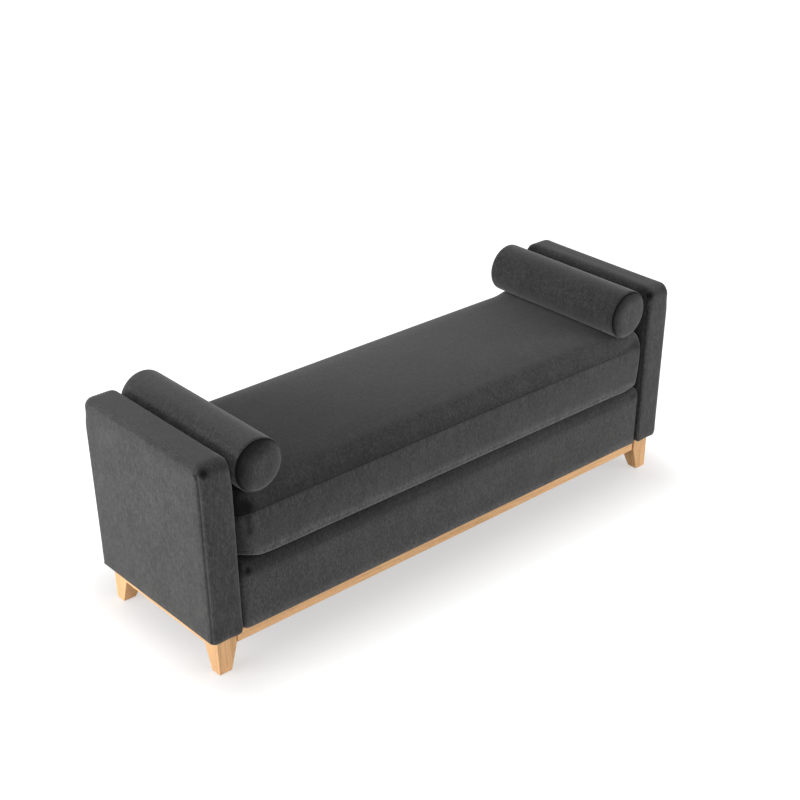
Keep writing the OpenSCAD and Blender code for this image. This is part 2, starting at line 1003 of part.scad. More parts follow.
// Crowned, boxed cushion with its sides drawn in at both seams
module cushion_form() {
    flat = [[0.78 * cushion_y, cushion_bottom, fitting_corner(low_corner, 0.78 * cushion_y), 0]];
    low_roll = [
        for (turn = [90, 55, 25])
            [low_lip * (1 - cos(turn)), seam_low_z - (seam_low_z - cushion_bottom) * sin(turn),
                low_corner, 0]
    ];
    box_side = [
        for (share = [0.25, 0.5, 0.75])
            [-boxing_bulge * sin(180 * share), seam_low_z + boxing * share,
                low_corner + (cushion_corner - low_corner) * share, seam_lift * share]
    ];
    shoulder = [
        for (turn = [25, 45, 62, 76, 90])
            [shoulder_w * (1 - cos(turn)), seam_high_z + shoulder_h * sin(turn),
                cushion_corner, seam_lift * (1 - turn / 90)]
    ];
    crown = [
        for (inset = [bolster_inset, 0.4 * cushion_y, 0.6 * cushion_y, 0.8 * cushion_y])
            [inset, top_height(inset), fitting_corner(cushion_corner, inset), 0]
    ];
    lofted_block(cushion_x, cushion_y,
        concat(flat, low_roll, seam_rings(seam_low_z, low_corner, 0), box_side,
            seam_rings(seam_high_z, cushion_corner, seam_lift), shoulder, crown),
        fine_steps, 8, 4);
}

module cushion_core(grow) {
    core_x = cushion_x - core_margin + grow;
    core_y = cushion_y - core_margin + grow;
    translate([0, 0, core_bottom - grow])
        linear_extrude(core_top - core_bottom + 2 * grow) {
            square([2 * core_x, 2 * (core_y - core_margin)], center = true);
            square([2 * (core_x - core_margin), 2 * core_y], center = true);
            for (sx = [-1, 1])
                for (sy = [-1, 1])
                    translate([sx * (core_x - core_margin), sy * (core_y - core_margin)])
                        circle(r = core_margin);
        }
}

module seat_cushion_foam() {
    color(FOAM) cushion_core(0);
}

// Hollows that the bolsters press into the cushion's top
module bolster_hollows() {
    for (side = [-1, 1])
        translate([side * bolster_x, arm_y, bolster_z])
            rotate([90, 0, 0])
                cylinder(r = bolster_r + lift_clearance, h = arm_depth);
}

module seat_cushion_cover() {
    color(VELVET)
        difference() {
            cushion_form();
            cushion_core(skin_clearance);
            bolster_hollows();
            translate([-zip_length / 2 - cut, zip_back, zip_z - zip_tape / 2 - cut])
                cube([zip_length + 2 * cut, foam, zip_tape + 2 * cut]);
        }
}

module cushion_zip() {
    color(BLACK) {
        translate([-zip_length / 2, zip_back, zip_z - zip_tape / 2])
            cube([zip_length, zip_tape_t, zip_tape]);
        translate([-zip_length / 2, zip_back, zip_z - zip_chain / 2])
            cube([zip_length, zip_tape_t + zip_chain_t, zip_chain]);
    }
}

// Slider over the chain, closed at the positive end, with its pull hanging down
module zip_slider() {
    height = zip_chain + 2 * (slider_clearance + slider_wall);
    depth = zip_chain_t + slider_wall;
    plate_y = zip_y + slider_clearance + depth;
    color(STEEL) {
        difference() {
            translate([slider_x, zip_y + slider_clearance, zip_z - height / 2])
                cube([slider_length, depth, height]);
            translate([slider_x - cut, zip_y, zip_z - zip_chain / 2 - slider_clearance])
                cube([slider_length + 2 * cut, zip_chain_t + slider_clearance,
                    zip_chain + 2 * slider_clearance]);
        }
        translate([slider_x + slider_length / 4, plate_y, zip_z + height / 2 - pull_length])
            cube([slider_length / 2, slider_wall, pull_length]);
    }
}

// Half section of a bolster, drawn in by an inset: body, end seams and domed end discs
module bolster_section(inset) {
    r = bolster_r - inset;
    end = bolster_half - inset;
    shoulder = 6;
    crease = 3;
    ridge = inset > 0 ? 0 : seam_ridge;
    half = concat(
        [[r, end - 3 * shoulder]],
        [for (turn = [30, 60, 90])
            [r - shoulder + shoulder * cos(turn / 2), end - 3 * shoulder + 2 * shoulder * turn / 90]],
        [[r - shoulder / 3, end - crease], [r - shoulder / 3 + ridge, end], [r - shoulder, end - crease / 2]],
        [for (share = [0.88, 0.76, 0.6, 0.4, 0.2, 0])
            [r * share, end + bolster_dome * (1 - pow(share, 4))]]
    );
    polygon(concat(half, [for (p = reversed(half)) [p.x, -p.y]]));
}

module bolster_form(side, inset) {
    translate([side * bolster_x, 0, bolster_z])
        rotate([90, 0, 0])
            rotate_extrude()
                bolster_section(inset);
}

module bolster_cover(side) {
    difference() {
        bolster_form(side, 0);
        bolster_form(side, velvet);
    }
}

module bolster_left_core() {
    color(FOAM) bolster_form(-1, velvet + skin_clearance);
}

module bolster_left_cover() {
    color(VELVET) bolster_cover(-1);
}

module bolster_right_core() {
    color(FOAM) bolster_form(1, velvet + skin_clearance);
}

module bolster_right_cover() {
    color(VELVET) bolster_cover(1);
}

leg_front_left();
leg_front_right();
leg_rear_left();
leg_rear_right();
rail_front();
rail_rear();
rail_left();
rail_right();
base_stretcher_left();
base_stretcher_right();
base_dowels();
foot_glides();
base_screws();
seat_rail_front();
seat_rail_rear();
seat_rail_left();
seat_rail_right();
seat_spreader_left();
seat_spreader_right();
seat_frame_screws();
seat_springs();
spring_clips();
spring_felt();
deck_foam();
seat_base_foam();
seat_base_cover();
dust_cloth();
arm_left_front_post();
arm_left_rear_post();
arm_left_top_rail();
arm_left_bottom_rail();
arm_left_inner_board();
arm_left_outer_board();
arm_left_foam();
arm_left_cover();
arm_right_front_post();
arm_right_rear_post();
arm_right_top_rail();
arm_right_bottom_rail();
arm_right_inner_board();
arm_right_outer_board();
arm_right_foam();
arm_right_cover();
arm_frame_screws();
arm_bolts();
arm_bolt_washers();
arm_insert_nuts();
seat_cushion_foam();
seat_cushion_cover();
cushion_zip();
zip_slider();
bolster_left_core();
bolster_left_cover();
bolster_right_core();
bolster_right_cover();
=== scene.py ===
"""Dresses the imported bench: sewn velvet covers, an eased oak base, a zip, a dust cloth and a studio."""
import math

import bmesh
import bpy
import numpy as np
from mathutils import Matrix, Vector
from mathutils.kdtree import KDTree


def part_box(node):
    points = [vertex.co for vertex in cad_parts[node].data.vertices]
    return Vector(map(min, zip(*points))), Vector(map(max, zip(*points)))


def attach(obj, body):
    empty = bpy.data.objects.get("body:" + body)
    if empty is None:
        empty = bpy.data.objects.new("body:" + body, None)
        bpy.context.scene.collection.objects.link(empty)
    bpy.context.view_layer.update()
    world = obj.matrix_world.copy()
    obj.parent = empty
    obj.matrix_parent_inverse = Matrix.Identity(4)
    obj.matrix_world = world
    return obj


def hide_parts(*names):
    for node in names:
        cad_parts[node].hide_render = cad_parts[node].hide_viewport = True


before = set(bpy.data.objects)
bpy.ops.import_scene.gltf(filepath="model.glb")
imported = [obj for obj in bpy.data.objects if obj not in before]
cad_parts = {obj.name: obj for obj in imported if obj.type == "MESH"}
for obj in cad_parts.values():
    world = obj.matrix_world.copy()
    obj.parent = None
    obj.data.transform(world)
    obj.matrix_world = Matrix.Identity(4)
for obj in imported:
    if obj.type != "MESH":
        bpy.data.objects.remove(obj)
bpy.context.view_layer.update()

bl_info = {
    "name": "Upholstered Bench",
    "version": (1, 0, 0),
    "blender": (4, 5, 0),
    "location": "3D View > Sidebar > Bench",
    "description": "Sewn covers, oak, zip, dust cloth and studio for an upholstered bench",
    "category": "Object",
}

# Shapes that the boxes of the nodes don't give, in metres.
# Arms: radii of the edges, crown of the panels, length tucked in below, and the seam's turn on its edge
ARM_EDGE = 0.024
ARM_CORNER = 0.034
ARM_CROWN = 0.0015
ARM_TUCK = 0.016
ARM_LOW_EDGE = 0.022
ARM_LOW_OUTER = 0.005
ARM_SEAM_TURN = math.radians(62)

# Seat base: radii of the edges, length tucked in below, and width of the cover turned in underneath
SEAT_TOP_EDGE = 0.020
SEAT_LOW_EDGE = 0.012
SEAT_CORNER = 0.014
SEAT_TUCK = 0.008
TURN_IN = 0.047

# Cushion: boxing and its bulge, seams, shoulder and crown, and the roll under the lower seam
BOXING = 0.117
CUSHION_BULGE = 0.004
SEAM_LIFT = 0.005
SHOULDER_W = 0.055
SHOULDER_H = 0.0570
FRONT_LEAN = math.radians(25)
CUSHION_CROWN = 0.0142
CUSHION_CORNER = 0.028
LOW_CORNER = 0.060
LOW_SEAM = 0.021
LOW_LIP = 0.024
LIP_WIDE = 0.013
LIP_HIGH = 0.0115
# How its lower corners rise off the deck: side in X and Y, rise and reach
CORNER_LIFTS = ((-1, -1, 0.013, 0.055), (1, -1, 0.010, 0.035),
                (-1, 1, 0.006, 0.055), (1, 1, 0.008, 0.045))
# How softly it is pressed down under a bolster, and what stays between them
PRESS = 0.007
PRESS_GAP = 0.0007

# Zip: half widths of the tape, of its slot and of the slot's lips, depths of slot and lips, and plates
ZIP_TAPE = 0.0067
ZIP_SLOT = 0.0069
ZIP_LIPS = 0.0075
ZIP_DEEP = 0.0022
ZIP_LIP_DEEP = 0.0007
SLIDER_LONG = 0.012
SLIDER_PLATE = 0.0014
PULL_HALF = 0.003

# Bolsters: dome of the discs and width of the seam allowance
BOLSTER_DOME = 0.011
BOLSTER_SEAM = 0.0012

# Base: width and depth of a leg at its foot, neck and block, its flare, how far it and the end rails stand
# out past the CAD nodes, and its glide's place, radius and recess
LEG_FOOT = (0.0395, 0.034)
LEG_NECK = (0.0597, 0.0570)
LEG_BLOCK = 0.061
LEG_FLARE = 0.003
BASE_OUT = 0.005
GLIDE_CENTRE = 0.0175
GLIDE_RADIUS = 0.01215
GLIDE_RECESS = 0.0042

# Dimples: radius, share of the dimple depth, and how much painted shade darkens them
CUSHION_DIMPLE = (0.017, 1.8, 0.95)
CUSHION_PUCKER = (0.009, 0.8, 0.45)
ARM_DIMPLE = (0.0085, 0.45, 0.95)
ARM_DENT = (0.014, 0.3, 0.3)
ARM_FOLD = (0.009, 0.1, 0.2)
SEAT_DIMPLE = (0.0065, 1.0, 1.0)
SEAT_DENT = (0.0065, 0.4, 0.25)

# Painted shade: how dark it is above the cushion's upper seam and up to what height, and what both lose to
# the right-hand end; how dark it is under the seat base's top, where the cushion shades it, what that loses,
# from where and over what width
CUSHION_SEAM_SHADE = ((0.32, 0.10), (0.046, 0.014))
SEAT_TOP_SHADE = (0.45, 0.08, 0.022, 0.036)
# Painted highlight, below 0: how strong along a lower rim, up to what height and over what width, and along
# the edge of an arm's top and where a bolster faces its arm, where it lightens the shade between them
CUSHION_RIM_HIGHLIGHT = (-0.65, 0.026, 0.036)
SEAT_RIM_HIGHLIGHT = (-0.60, 0.030, 0.030)
ARM_EDGE_HIGHLIGHT = -0.7
BOLSTER_ARM_SIDE_HIGHLIGHT = -0.9
# Painted shade in a bolster's disc, along its seam and then inwards, with the reach for each side
DISC_SEAM_SHADE = 0.8
DISC_SHADE = {"left": (0.85, 0.072), "right": (0.65, 0.045)}

# Lines of the sewn forms in millimetres, from a panel's edge or a strip's end: fine for the piece, coarse
# for the cloth simulation
EDGE_FINE = (0, 0.5, 1.1, 1.8, 2.7, 3.8, 5.2, 7.0, 9.0, 11.5, 14.5, 18, 22, 26.5, 31.5, 37, 43, 50, 58, 67,
             78, 90)
EDGE_COARSE = (0, 5, 11, 18, 27, 37, 47, 58, 72, 88)
DISC_FINE = (0, 0.6, 1.3, 2.2, 3.4, 5, 7.5, 11, 15, 20, 26)
DISC_COARSE = (0, 4, 9, 15, 22, 30)
BOXING_ENDS = (0, 0.6, 1.3, 2.2, 3.4, 5, 7.5, 11, 16, 22, 30, 38, 46)
BOXING_AT_ZIP = (9.5, 7.8, 7.2, 6.6, 6)
ARM_ENDS = (0, 0.5, 1.1, 1.9, 2.9, 4.2, 6, 8.4, 11.5, 15.7, 20)
ARM_ENDS_COARSE = (0, 5, 10.5, 15.7)
SEAT_ENDS = (0, 2.5, 5.5, 9, 12.5, 16, 20, 26, 33)
SEAT_ENDS_COARSE = (0, 8, 15.7)

# Settings of the cloth simulation, and its last frame
CLOTH = {
    "quality": 6, "mass": 0.25, "tension_stiffness": 18, "compression_stiffness": 12, "shear_stiffness": 8,
    "bending_stiffness": 1.2, "use_pressure": True, "vertex_group_mass": "sewn",
}
CLOTH_FRAMES = 20

# Copies of the velvet from lit to shaded, for painted shade: name, least value of the attribute crease, and
# sheen
VELVET_SHADES = (("velvet", 0.0, 0.33), ("velvet_shade_1", 0.15, 0.27), ("velvet_shade_2", 0.25, 0.21),
        ("velvet_shade_3", 0.38, 0.14), ("velvet_shade_4", 0.6, 0.05))

# Stretches of a pattern that draw it out along one axis
ALONG_X = (0.035, 1.0, 1.0)
ALONG_Y = (1.0, 0.035, 1.0)
ALONG_Z = (1.0, 1.0, 0.035)

# Mottled finishes: colour, roughness, metallic, scale, spread, bump and stretch
PINE = (0.62, 0.46, 0.27)
PLAIN = {
    "pine_long": (PINE, 0.7, 0, 60.0, 0.16, 0.0003, ALONG_X),
    "pine_deep": (PINE, 0.7, 0, 60.0, 0.16, 0.0003, ALONG_Y),
    "pine_upright": (PINE, 0.7, 0, 60.0, 0.16, 0.0003, ALONG_Z),
    "plywood": ((0.55, 0.39, 0.22), 0.65, 0, 40.0, 0.14, 0.0002, (1, 1, 0.1)),
    "beech": ((0.55, 0.33, 0.17), 0.6, 0, 150.0, 0.12, 0.0002),
    "steel": ((0.55, 0.56, 0.58), 0.38, 1.0, 300.0, 0.08, 0.0001),
    "spring_steel": ((0.32, 0.32, 0.34), 0.35, 1.0, 250.0, 0.12, 0.0001),
    "brass": ((0.62, 0.44, 0.18), 0.35, 1.0, 250.0, 0.08, 0.0001),
    "nylon": ((0.52, 0.51, 0.48), 0.55, 0, 200.0, 0.05, 0.0001),
    "chain": ((0.03, 0.03, 0.032), 0.4, 0, 400.0, 0.1, 0.0001),
    "slider": ((0.16, 0.16, 0.17), 0.32, 1.0, 300.0, 0.1, 0.0001),
}

LEGS = ("leg_front_left", "leg_front_right", "leg_rear_left", "leg_rear_right")
# Rails and stretchers, and the oak whose grain runs along them
RAILS = {
    "rail_front": "oak_long", "rail_rear": "oak_long", "rail_left": "oak_end", "rail_right": "oak_end",
    "base_stretcher_left": "oak_end", "base_stretcher_right": "oak_end",
}
# Nodes that are kept as they are, by their finish
INSIDE = {
    "beech": ["base_dowels"],
    "nylon": ["foot_glides"],
    "steel": ["base_screws", "seat_frame_screws", "spring_clips", "arm_frame_screws", "arm_bolts",
              "arm_bolt_washers"],
    "spring_steel": ["seat_springs"],
    "brass": ["arm_insert_nuts"],
    "pine_long": ["seat_rail_front", "seat_rail_rear"],
    "pine_deep": ["seat_rail_left", "seat_rail_right", "seat_spreader_left", "seat_spreader_right",
                  "arm_left_top_rail", "arm_left_bottom_rail", "arm_right_top_rail", "arm_right_bottom_rail"],
    "pine_upright": ["arm_left_front_post", "arm_left_rear_post", "arm_right_front_post",
                     "arm_right_rear_post"],
    "plywood": ["arm_left_inner_board", "arm_left_outer_board", "arm_right_inner_board",
                "arm_right_outer_board"],
}

# The camera's fit to the photograph: lens, shift, place, and turns about Z, X and its own axis in degrees
LENS = 65.685
LENS_SHIFT = (-0.0300, 0.1923)
CAMERA_PLACE = (-2.4666, -2.8127, 2.3189)
CAMERA_TURNS = ((-42.363, "Z"), (90 - 32.8926, "X"), (0.3256, "Z"))

# Filled in main()
FINISHES = {}
TREES = {}


def sizes():
    return bpy.context.scene.bench_sizes


def smooth(x):
    """Eased step from 0 to 1."""
    x = np.clip(x, 0, 1)
    return x * x * (3 - 2 * x)


# Materials


def feed(tree, socket, value):
    """Links another node's socket to this one, or sets its value."""
    if isinstance(value, bpy.types.NodeSocket):
        tree.links.new(value, socket)
    else:
        socket.default_value = value


def wire(tree, kind, inputs=None, **settings):
    """A new node with its settings and inputs."""
    node = tree.nodes.new(kind)
    for key, value in settings.items():
        setattr(node, key, value)
    for key, value in (inputs or {}).items():
        feed(tree, node.inputs[key], value)
    return node


class Finish:
    """A node material that is being built on its Principled shader."""

    def __init__(self, name):
        self.material = bpy.data.materials.new(name)
        self.material.use_nodes = True
        self.tree = self.material.node_tree
        self.shader = self.tree.nodes["Principled BSDF"]
        self.coords = self.add("ShaderNodeTexCoord").outputs["Object"]

    def add(self, kind, inputs=None, **settings):
        return wire(self.tree, kind, inputs, **settings)

    def stretched(self, scale):
        return self.add("ShaderNodeMapping", {"Vector": self.coords, "Scale": scale}).outputs[0]

    def noise(self, vector, scale, detail=2.0, roughness=0.5, distortion=0.0):
        return self.add("ShaderNodeTexNoise", {
            "Vector": vector, "Scale": scale, "Detail": detail,
            "Roughness": roughness, "Distortion": distortion,
        }).outputs["Fac"]

    def sum(self, parts):
        """Weighted sum of values."""
        total = None
        for value, weight in parts:
            part = self.add("ShaderNodeMath", {0: value, 1: weight}, operation="MULTIPLY").outputs[0]
            total = part if total is None else self.add(
                "ShaderNodeMath", {0: total, 1: part}, operation="ADD").outputs[0]
        return total

    def mix(self, share, first, second, **settings):
        """Mix of two colours by a share."""
        return self.add("ShaderNodeMix", {0: share, 6: first, 7: (*second, 1.0)},
                        data_type="RGBA", **settings).outputs[2]

    def ramp(self, value, stops):
        """Colour ramp of (place, colour) stops."""
        node = self.add("ShaderNodeValToRGB", {"Fac": value})
        bar = node.color_ramp
        while len(bar.elements) < len(stops):
            bar.elements.new(0.5)
        for element, (place, color) in zip(bar.elements, stops):
            element.position = place
            element.color = (*color, 1.0)
        return node.outputs["Color"]

    def bump(self, height, distance, strength=1.0, under=None):
        inputs = {"Height": height, "Distance": distance, "Strength": strength}
        if under is not None:
            inputs["Normal"] = under
        return self.add("ShaderNodeBump", inputs).outputs[0]

    def set(self, **sockets):
        """Sets or links the shader's sockets, named with underscores for spaces."""
        for key, value in sockets.items():
            feed(self.tree, self.shader.inputs[key.replace("_", " ")], value)
        return self.material


def tinted(color, factor):
    return tuple(min(1.0, c * factor) for c in color)


def velvet_finish(colors, name, sheen):
    """Low-pile velvet: soft cloudy marks, a short nap that leans downwards, and a sheen at the edges.
    It gets painted shade where the attribute crease is above 0 and a painted highlight where it is below."""
    f = Finish(name)
    base = tuple(colors.velvet)
    nap = f.stretched((1.0, 0.7, 0.32))
    marks = f.sum([
        (f.noise(f.coords, 9.0, 3.0, 0.6), 0.16),
        (f.noise(nap, 90.0, 3.0, 0.65), 0.24),
        (f.noise(nap, 290.0, 2.0, 0.7), 0.60),
    ])
    color = f.ramp(marks, [(0.39, tinted(base, 0.52)), (0.5, base), (0.61, tinted(base, 1.62))])
    # Painted shade and highlight: towards an eighth of the colour as crease rises to 1, up to 2.5 times
    # lighter as it falls to -1
    crease = f.add("ShaderNodeAttribute", attribute_name="crease").outputs["Fac"]
    color = f.mix(crease, color, tinted(base, 0.12))
    color = f.mix(f.sum([(crease, -1.0)]), color, (2.5, 2.5, 2.5), blend_type="MULTIPLY")
    pile = f.noise(f.coords, 1500.0, 2.0, 0.6)
    soft = f.bump(f.noise(nap, 45.0, 3.0, 0.5), 0.0012, 0.3)
    return f.set(
        Base_Color=color, Roughness=f.sum([(marks, 0.2), (pile, 0.2), (1.0, 0.6)]),
        Sheen_Weight=sheen, Sheen_Roughness=0.55, Sheen_Tint=(1.0, 1.0, 1.0, 1.0),
        Specular_IOR_Level=0.10, Normal=f.bump(pile, 0.0004, 0.5, soft),
    )


def oak_finish(colors, name, scale):
    """Light oak with fine straight grain and short pores along the axis that scale draws out."""
    f = Finish(name)
    base = tuple(colors.oak)
    along = f.stretched(scale)
    short = f.stretched(tuple(0.12 if k < 1 else 1.0 for k in scale))
    broad = f.noise(along, 28.0, 2.0, 0.5, 0.4)
    fibres = f.noise(along, 260.0, 4.0, 0.7)
    pores = f.noise(short, 700.0, 2.0, 0.6)
    grain = f.sum([(broad, 0.30), (fibres, 0.42), (pores, 0.28)])
    shades = ((0.37, 0.68), (0.45, 0.88), (0.51, 1.02), (0.59, 1.14))
    color = f.ramp(grain, [(place, tinted(base, factor)) for place, factor in shades])
    return f.set(
        Base_Color=color, Roughness=f.sum([(grain, 0.25), (1.0, 0.40)]), Specular_IOR_Level=0.15,
        Normal=f.bump(grain, 0.0004, 0.35),
    )


def plain_finish(name, color, rough, metallic, scale, spread, bump, stretch=(1, 1, 1)):
    """Small-scale mottling of one colour, for the pieces inside and the hardware."""
    f = Finish(name)
    place = f.stretched(stretch)
    mottle = f.sum([(f.noise(place, scale, 3.0, 0.6), 0.6), (f.noise(place, scale * 6, 2.0, 0.6), 0.4)])
    shade = f.ramp(mottle, [(0.3, tinted(color, 1 - spread)), (0.7, tinted(color, 1 + spread))])
    return f.set(
        Base_Color=shade, Metallic=metallic, Roughness=f.sum([(mottle, 0.2), (1.0, rough - 0.1)]),
        Normal=f.bump(mottle, bump, 0.4),
    )


def woven_finish(name, color, pitch):
    """Two crossing sets of threads, for tape and thin cloth."""
    f = Finish(name)
    warp, weft = (
        f.add("ShaderNodeTexWave", {"Vector": f.stretched(scale), "Scale": 0.05 / pitch, "Distortion": 0.2},
              bands_direction=direction).outputs["Fac"]
        for scale, direction in (((1, 0, 0), "X"), ((0, 1, 1), "DIAGONAL")))
    threads = f.sum([(warp, 0.4), (weft, 0.4), (f.noise(f.coords, 200.0), 0.2)])
    shade = f.ramp(threads, [(0.2, tinted(color, 0.7)), (0.8, tinted(color, 1.3))])
    return f.set(Base_Color=shade, Roughness=0.85, Normal=f.bump(threads, pitch * 0.3, 0.5))


def make_finishes(colors):
    """All materials of the bench, by their maker's names."""
    return {
        **{name: velvet_finish(colors, name, sheen) for name, _, sheen in VELVET_SHADES},
        "oak_upright": oak_finish(colors, "oak_upright", ALONG_Z),
        "oak_long": oak_finish(colors, "oak_long", ALONG_X),
        "oak_end": oak_finish(colors, "oak_end", ALONG_Y),
        **{name: plain_finish(name, *values) for name, values in PLAIN.items()},
        "dust_cloth": woven_finish("dust_cloth", (0.018, 0.018, 0.019), 0.0012),
        "tape": woven_finish("tape", (0.035, 0.035, 0.038), 0.0009),
    }


# Mesh helpers


def linked(name, data):
    """A new object in the scene."""
    made = bpy.data.objects.new(name, data)
    bpy.context.scene.collection.objects.link(made)
    return made


def shade_smooth(mesh, sharp_from=None):
    """Smooth shading, with edges sharp from an angle in degrees."""
    mesh.polygons.foreach_set("use_smooth", [True] * len(mesh.polygons))
    if sharp_from is not None:
        mesh.set_sharp_from_angle(angle=math.radians(sharp_from))


def new_piece(name, points, faces, material, sharp_from=None):
    mesh = bpy.data.meshes.new(name)
    mesh.from_pydata([tuple(p) for p in points], [], [tuple(f) for f in faces])
    mesh.validate()
    mesh.update()
    shade_smooth(mesh, sharp_from)
    if material is not None:
        mesh.materials.append(material)
    return linked(name, mesh)


def from_work(work, name, material=None):
    """A piece from the mesh in work."""
    mesh = bpy.data.meshes.new(name)
    work.to_mesh(mesh)
    work.free()
    if material is not None:
        mesh.materials.append(material)
    return linked(name, mesh)


def triples(items, key):
    flat = np.zeros(len(items) * 3, np.float32)
    items.foreach_get(key, flat)
    return flat.reshape(-1, 3).astype(float)


def points_of(mesh):
    return triples(mesh.vertices, "co")


def normals_of(mesh):
    return triples(mesh.vertex_normals, "vector")


def set_points(mesh, points):
    mesh.vertices.foreach_set("co", points.astype(np.float32).ravel())
    mesh.update()


def quads(grid):
    """Faces between the points of a grid of indices, turned up."""
    return np.stack([grid[:-1, :-1], grid[1:, :-1], grid[1:, 1:], grid[:-1, 1:]], -1).reshape(-1, 4)


def turned_down(faces):
    return faces[:, [0, 3, 2, 1]]


def at_both(x, y, z):
    """The same spot at the front and at the back."""
    return [(x, -y, z), (x, y, z)]


def eased_copy(node, name, material, width):
    """Copy of a CAD node with its corners merged, its flat faces whole and its edges eased."""
    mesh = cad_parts[node].data.copy()
    piece = linked(name, mesh)
    work = bmesh.new()
    work.from_mesh(mesh)
    bmesh.ops.remove_doubles(work, verts=work.verts, dist=2e-5)
    bmesh.ops.dissolve_limit(work, angle_limit=math.radians(0.6), verts=work.verts, edges=work.edges,
                             delimit=set())
    work.to_mesh(mesh)
    work.free()
    mesh.materials.clear()
    mesh.materials.append(material)
    shade_smooth(mesh, 25)
    bevel = piece.modifiers.new("eased", "BEVEL")
    bevel.width = width
    bevel.segments = 2
    bevel.limit_method = "ANGLE"
    bevel.angle_limit = math.radians(40)
    bevel.use_clamp_overlap = True
    bevel.harden_normals = True
    return piece


# Sewn forms: a top panel, a boxing strip and a bottom panel, on one set of lines


def millimetres(values, start=0.0):
    return [start + v / 1000 for v in values]


def line_set(half, edge, step):
    """Places of the lines from one edge to the middle: the close ones, then even steps."""
    edge = np.array([c for c in edge if c < half * 0.9])
    count = max(1, round((half - edge[-1]) / step))
    return np.concatenate([edge, edge[-1] + (half - edge[-1]) * np.arange(1, count + 1) / count])


def even_rows(length, ends, count):
    """Strip lines: close ones at both ends and even ones between."""
    close = np.array(ends) / 1000
    middle = np.linspace(close[-1], length - close[-1], count + 1)[1:-1]
    return list(np.concatenate([close, middle, length - close[::-1]]))


def both_ways(lines):
    """The lines from edge to edge: distance to the nearer edge, side and running place."""
    near = np.concatenate([lines, lines[-2::-1]])
    side = np.concatenate([-np.ones(len(lines)), np.ones(len(lines) - 1)])
    place = np.concatenate([lines, 2 * lines[-1] - lines[-2::-1]])
    return near, side, place


def lay(near_x, near_y, inset, corner, half, reach):
    """Place in the first quarter of a rounded ring, for two lines that cross on it."""
    low = np.minimum(near_x, near_y)
    high = np.maximum(near_x, near_y)
    span = np.maximum(reach - low, 1e-9)
    along = np.where(high < reach, (high - low) * (reach - inset) / span, high - inset)
    radius = np.maximum(corner, 1e-9)
    share = along / radius
    on_x = near_x <= near_y
    turn = np.radians(np.where(on_x, 45 * (1 - share), 45 * (1 + share)))
    edge_x, edge_y = half[0] - inset, half[1] - inset
    arc = share < 1
    x = np.where(arc, edge_x - radius + radius * np.cos(turn), edge_x - np.where(on_x, 0, along))
    y = np.where(arc, edge_y - radius + radius * np.sin(turn), edge_y - np.where(on_x, along, 0))
    return x, y


class SewnForm:
    """A closed sewn form."""

    def __init__(self, half, reach, top, strip, bottom, finish):
        self.half, self.reach, self.finish = half, reach, finish
        self.top, self.strip, self.bottom = top, strip, bottom

    def laid(self, kind, shape, c, near, side):
        """Points of a panel, or of one line of the strip, at a distance c from its edge."""
        inset, height, corner = shape(c)
        x, y = lay(*near, inset, corner, self.half, self.reach)
        return self.finish(kind, c, np.stack([x * side[0], y * side[1], height + 0 * x], -1))

    def build(self, edge, step, strip_lines):
        """Points of the three parts, each as an array, and the lines' running places."""
        nx, sx, px = both_ways(line_set(self.half[0], edge, step))
        ny, sy, py = both_ways(line_set(self.half[1], edge, step))
        near = np.meshgrid(nx, ny, indexing="ij")
        side = np.meshgrid(sx, sy, indexing="ij")
        low = np.minimum(*near)
        top = self.laid("top", self.top, low, near, side)
        bottom = self.laid("bottom", self.bottom, low, near, side)
        i, j = border_of(len(nx), len(ny))
        near, side = [n[i, j] for n in near], [s[i, j] for s in side]
        strip = np.stack([self.laid("strip", self.strip, s, near, side) for s in strip_lines])
        strip[0] = top[i, j]
        strip[-1] = bottom[i, j]
        return {"top": top, "strip": strip, "bottom": bottom, "places": (px, py), "rows": strip_lines}


def border_of(nx, ny):
    """Indices of a grid's border, counter-clockwise from its first corner."""
    i = np.concatenate([
        np.arange(nx), np.full(ny - 1, nx - 1), np.arange(nx - 2, -1, -1), np.zeros(ny - 2, int)])
    j = np.concatenate([
        np.zeros(nx, int), np.arange(1, ny), np.full(nx - 1, ny - 1), np.arange(ny - 2, 0, -1)])
    return i, j


def join_parts(parts):
    """One closed mesh from the three parts: points, faces and the two seams as point indices."""
    nx, ny = parts["top"].shape[:2]
    rows = len(parts["strip"])
    grid = np.arange(nx * ny).reshape(nx, ny)
    low = grid + nx * ny
    i, j = border_of(nx, ny)
    around = len(i)
    between = 2 * nx * ny + np.arange((rows - 2) * around).reshape(rows - 2, around)
    strip = np.concatenate([grid[i, j][None], between, low[i, j][None]])
    points = np.concatenate([
        parts["top"].reshape(-1, 3), parts["bottom"].reshape(-1, 3), parts["strip"][1:-1].reshape(-1, 3),
    ])
    following = np.roll(strip, -1, axis=1)
    faces = np.concatenate([
        quads(grid), turned_down(quads(low)),
        np.stack([strip[:-1], strip[1:], following[1:], following[:-1]], -1).reshape(-1, 4),
    ])
    return points, faces, (strip[0], strip[-1])


def split_parts(parts, points):
    """The points of a joined mesh, back in the three parts' arrays."""
    nx, ny = parts["top"].shape[:2]
    size = nx * ny
    top = points[:size].reshape(nx, ny, 3)
    bottom = points[size:2 * size].reshape(nx, ny, 3)
    i, j = border_of(nx, ny)
    between = points[2 * size:].reshape(len(parts["strip"]) - 2, len(i), 3)
    strip = np.concatenate([top[i, j][None], between, bottom[i, j][None]])
    return {"top": top, "bottom": bottom, "strip": strip}


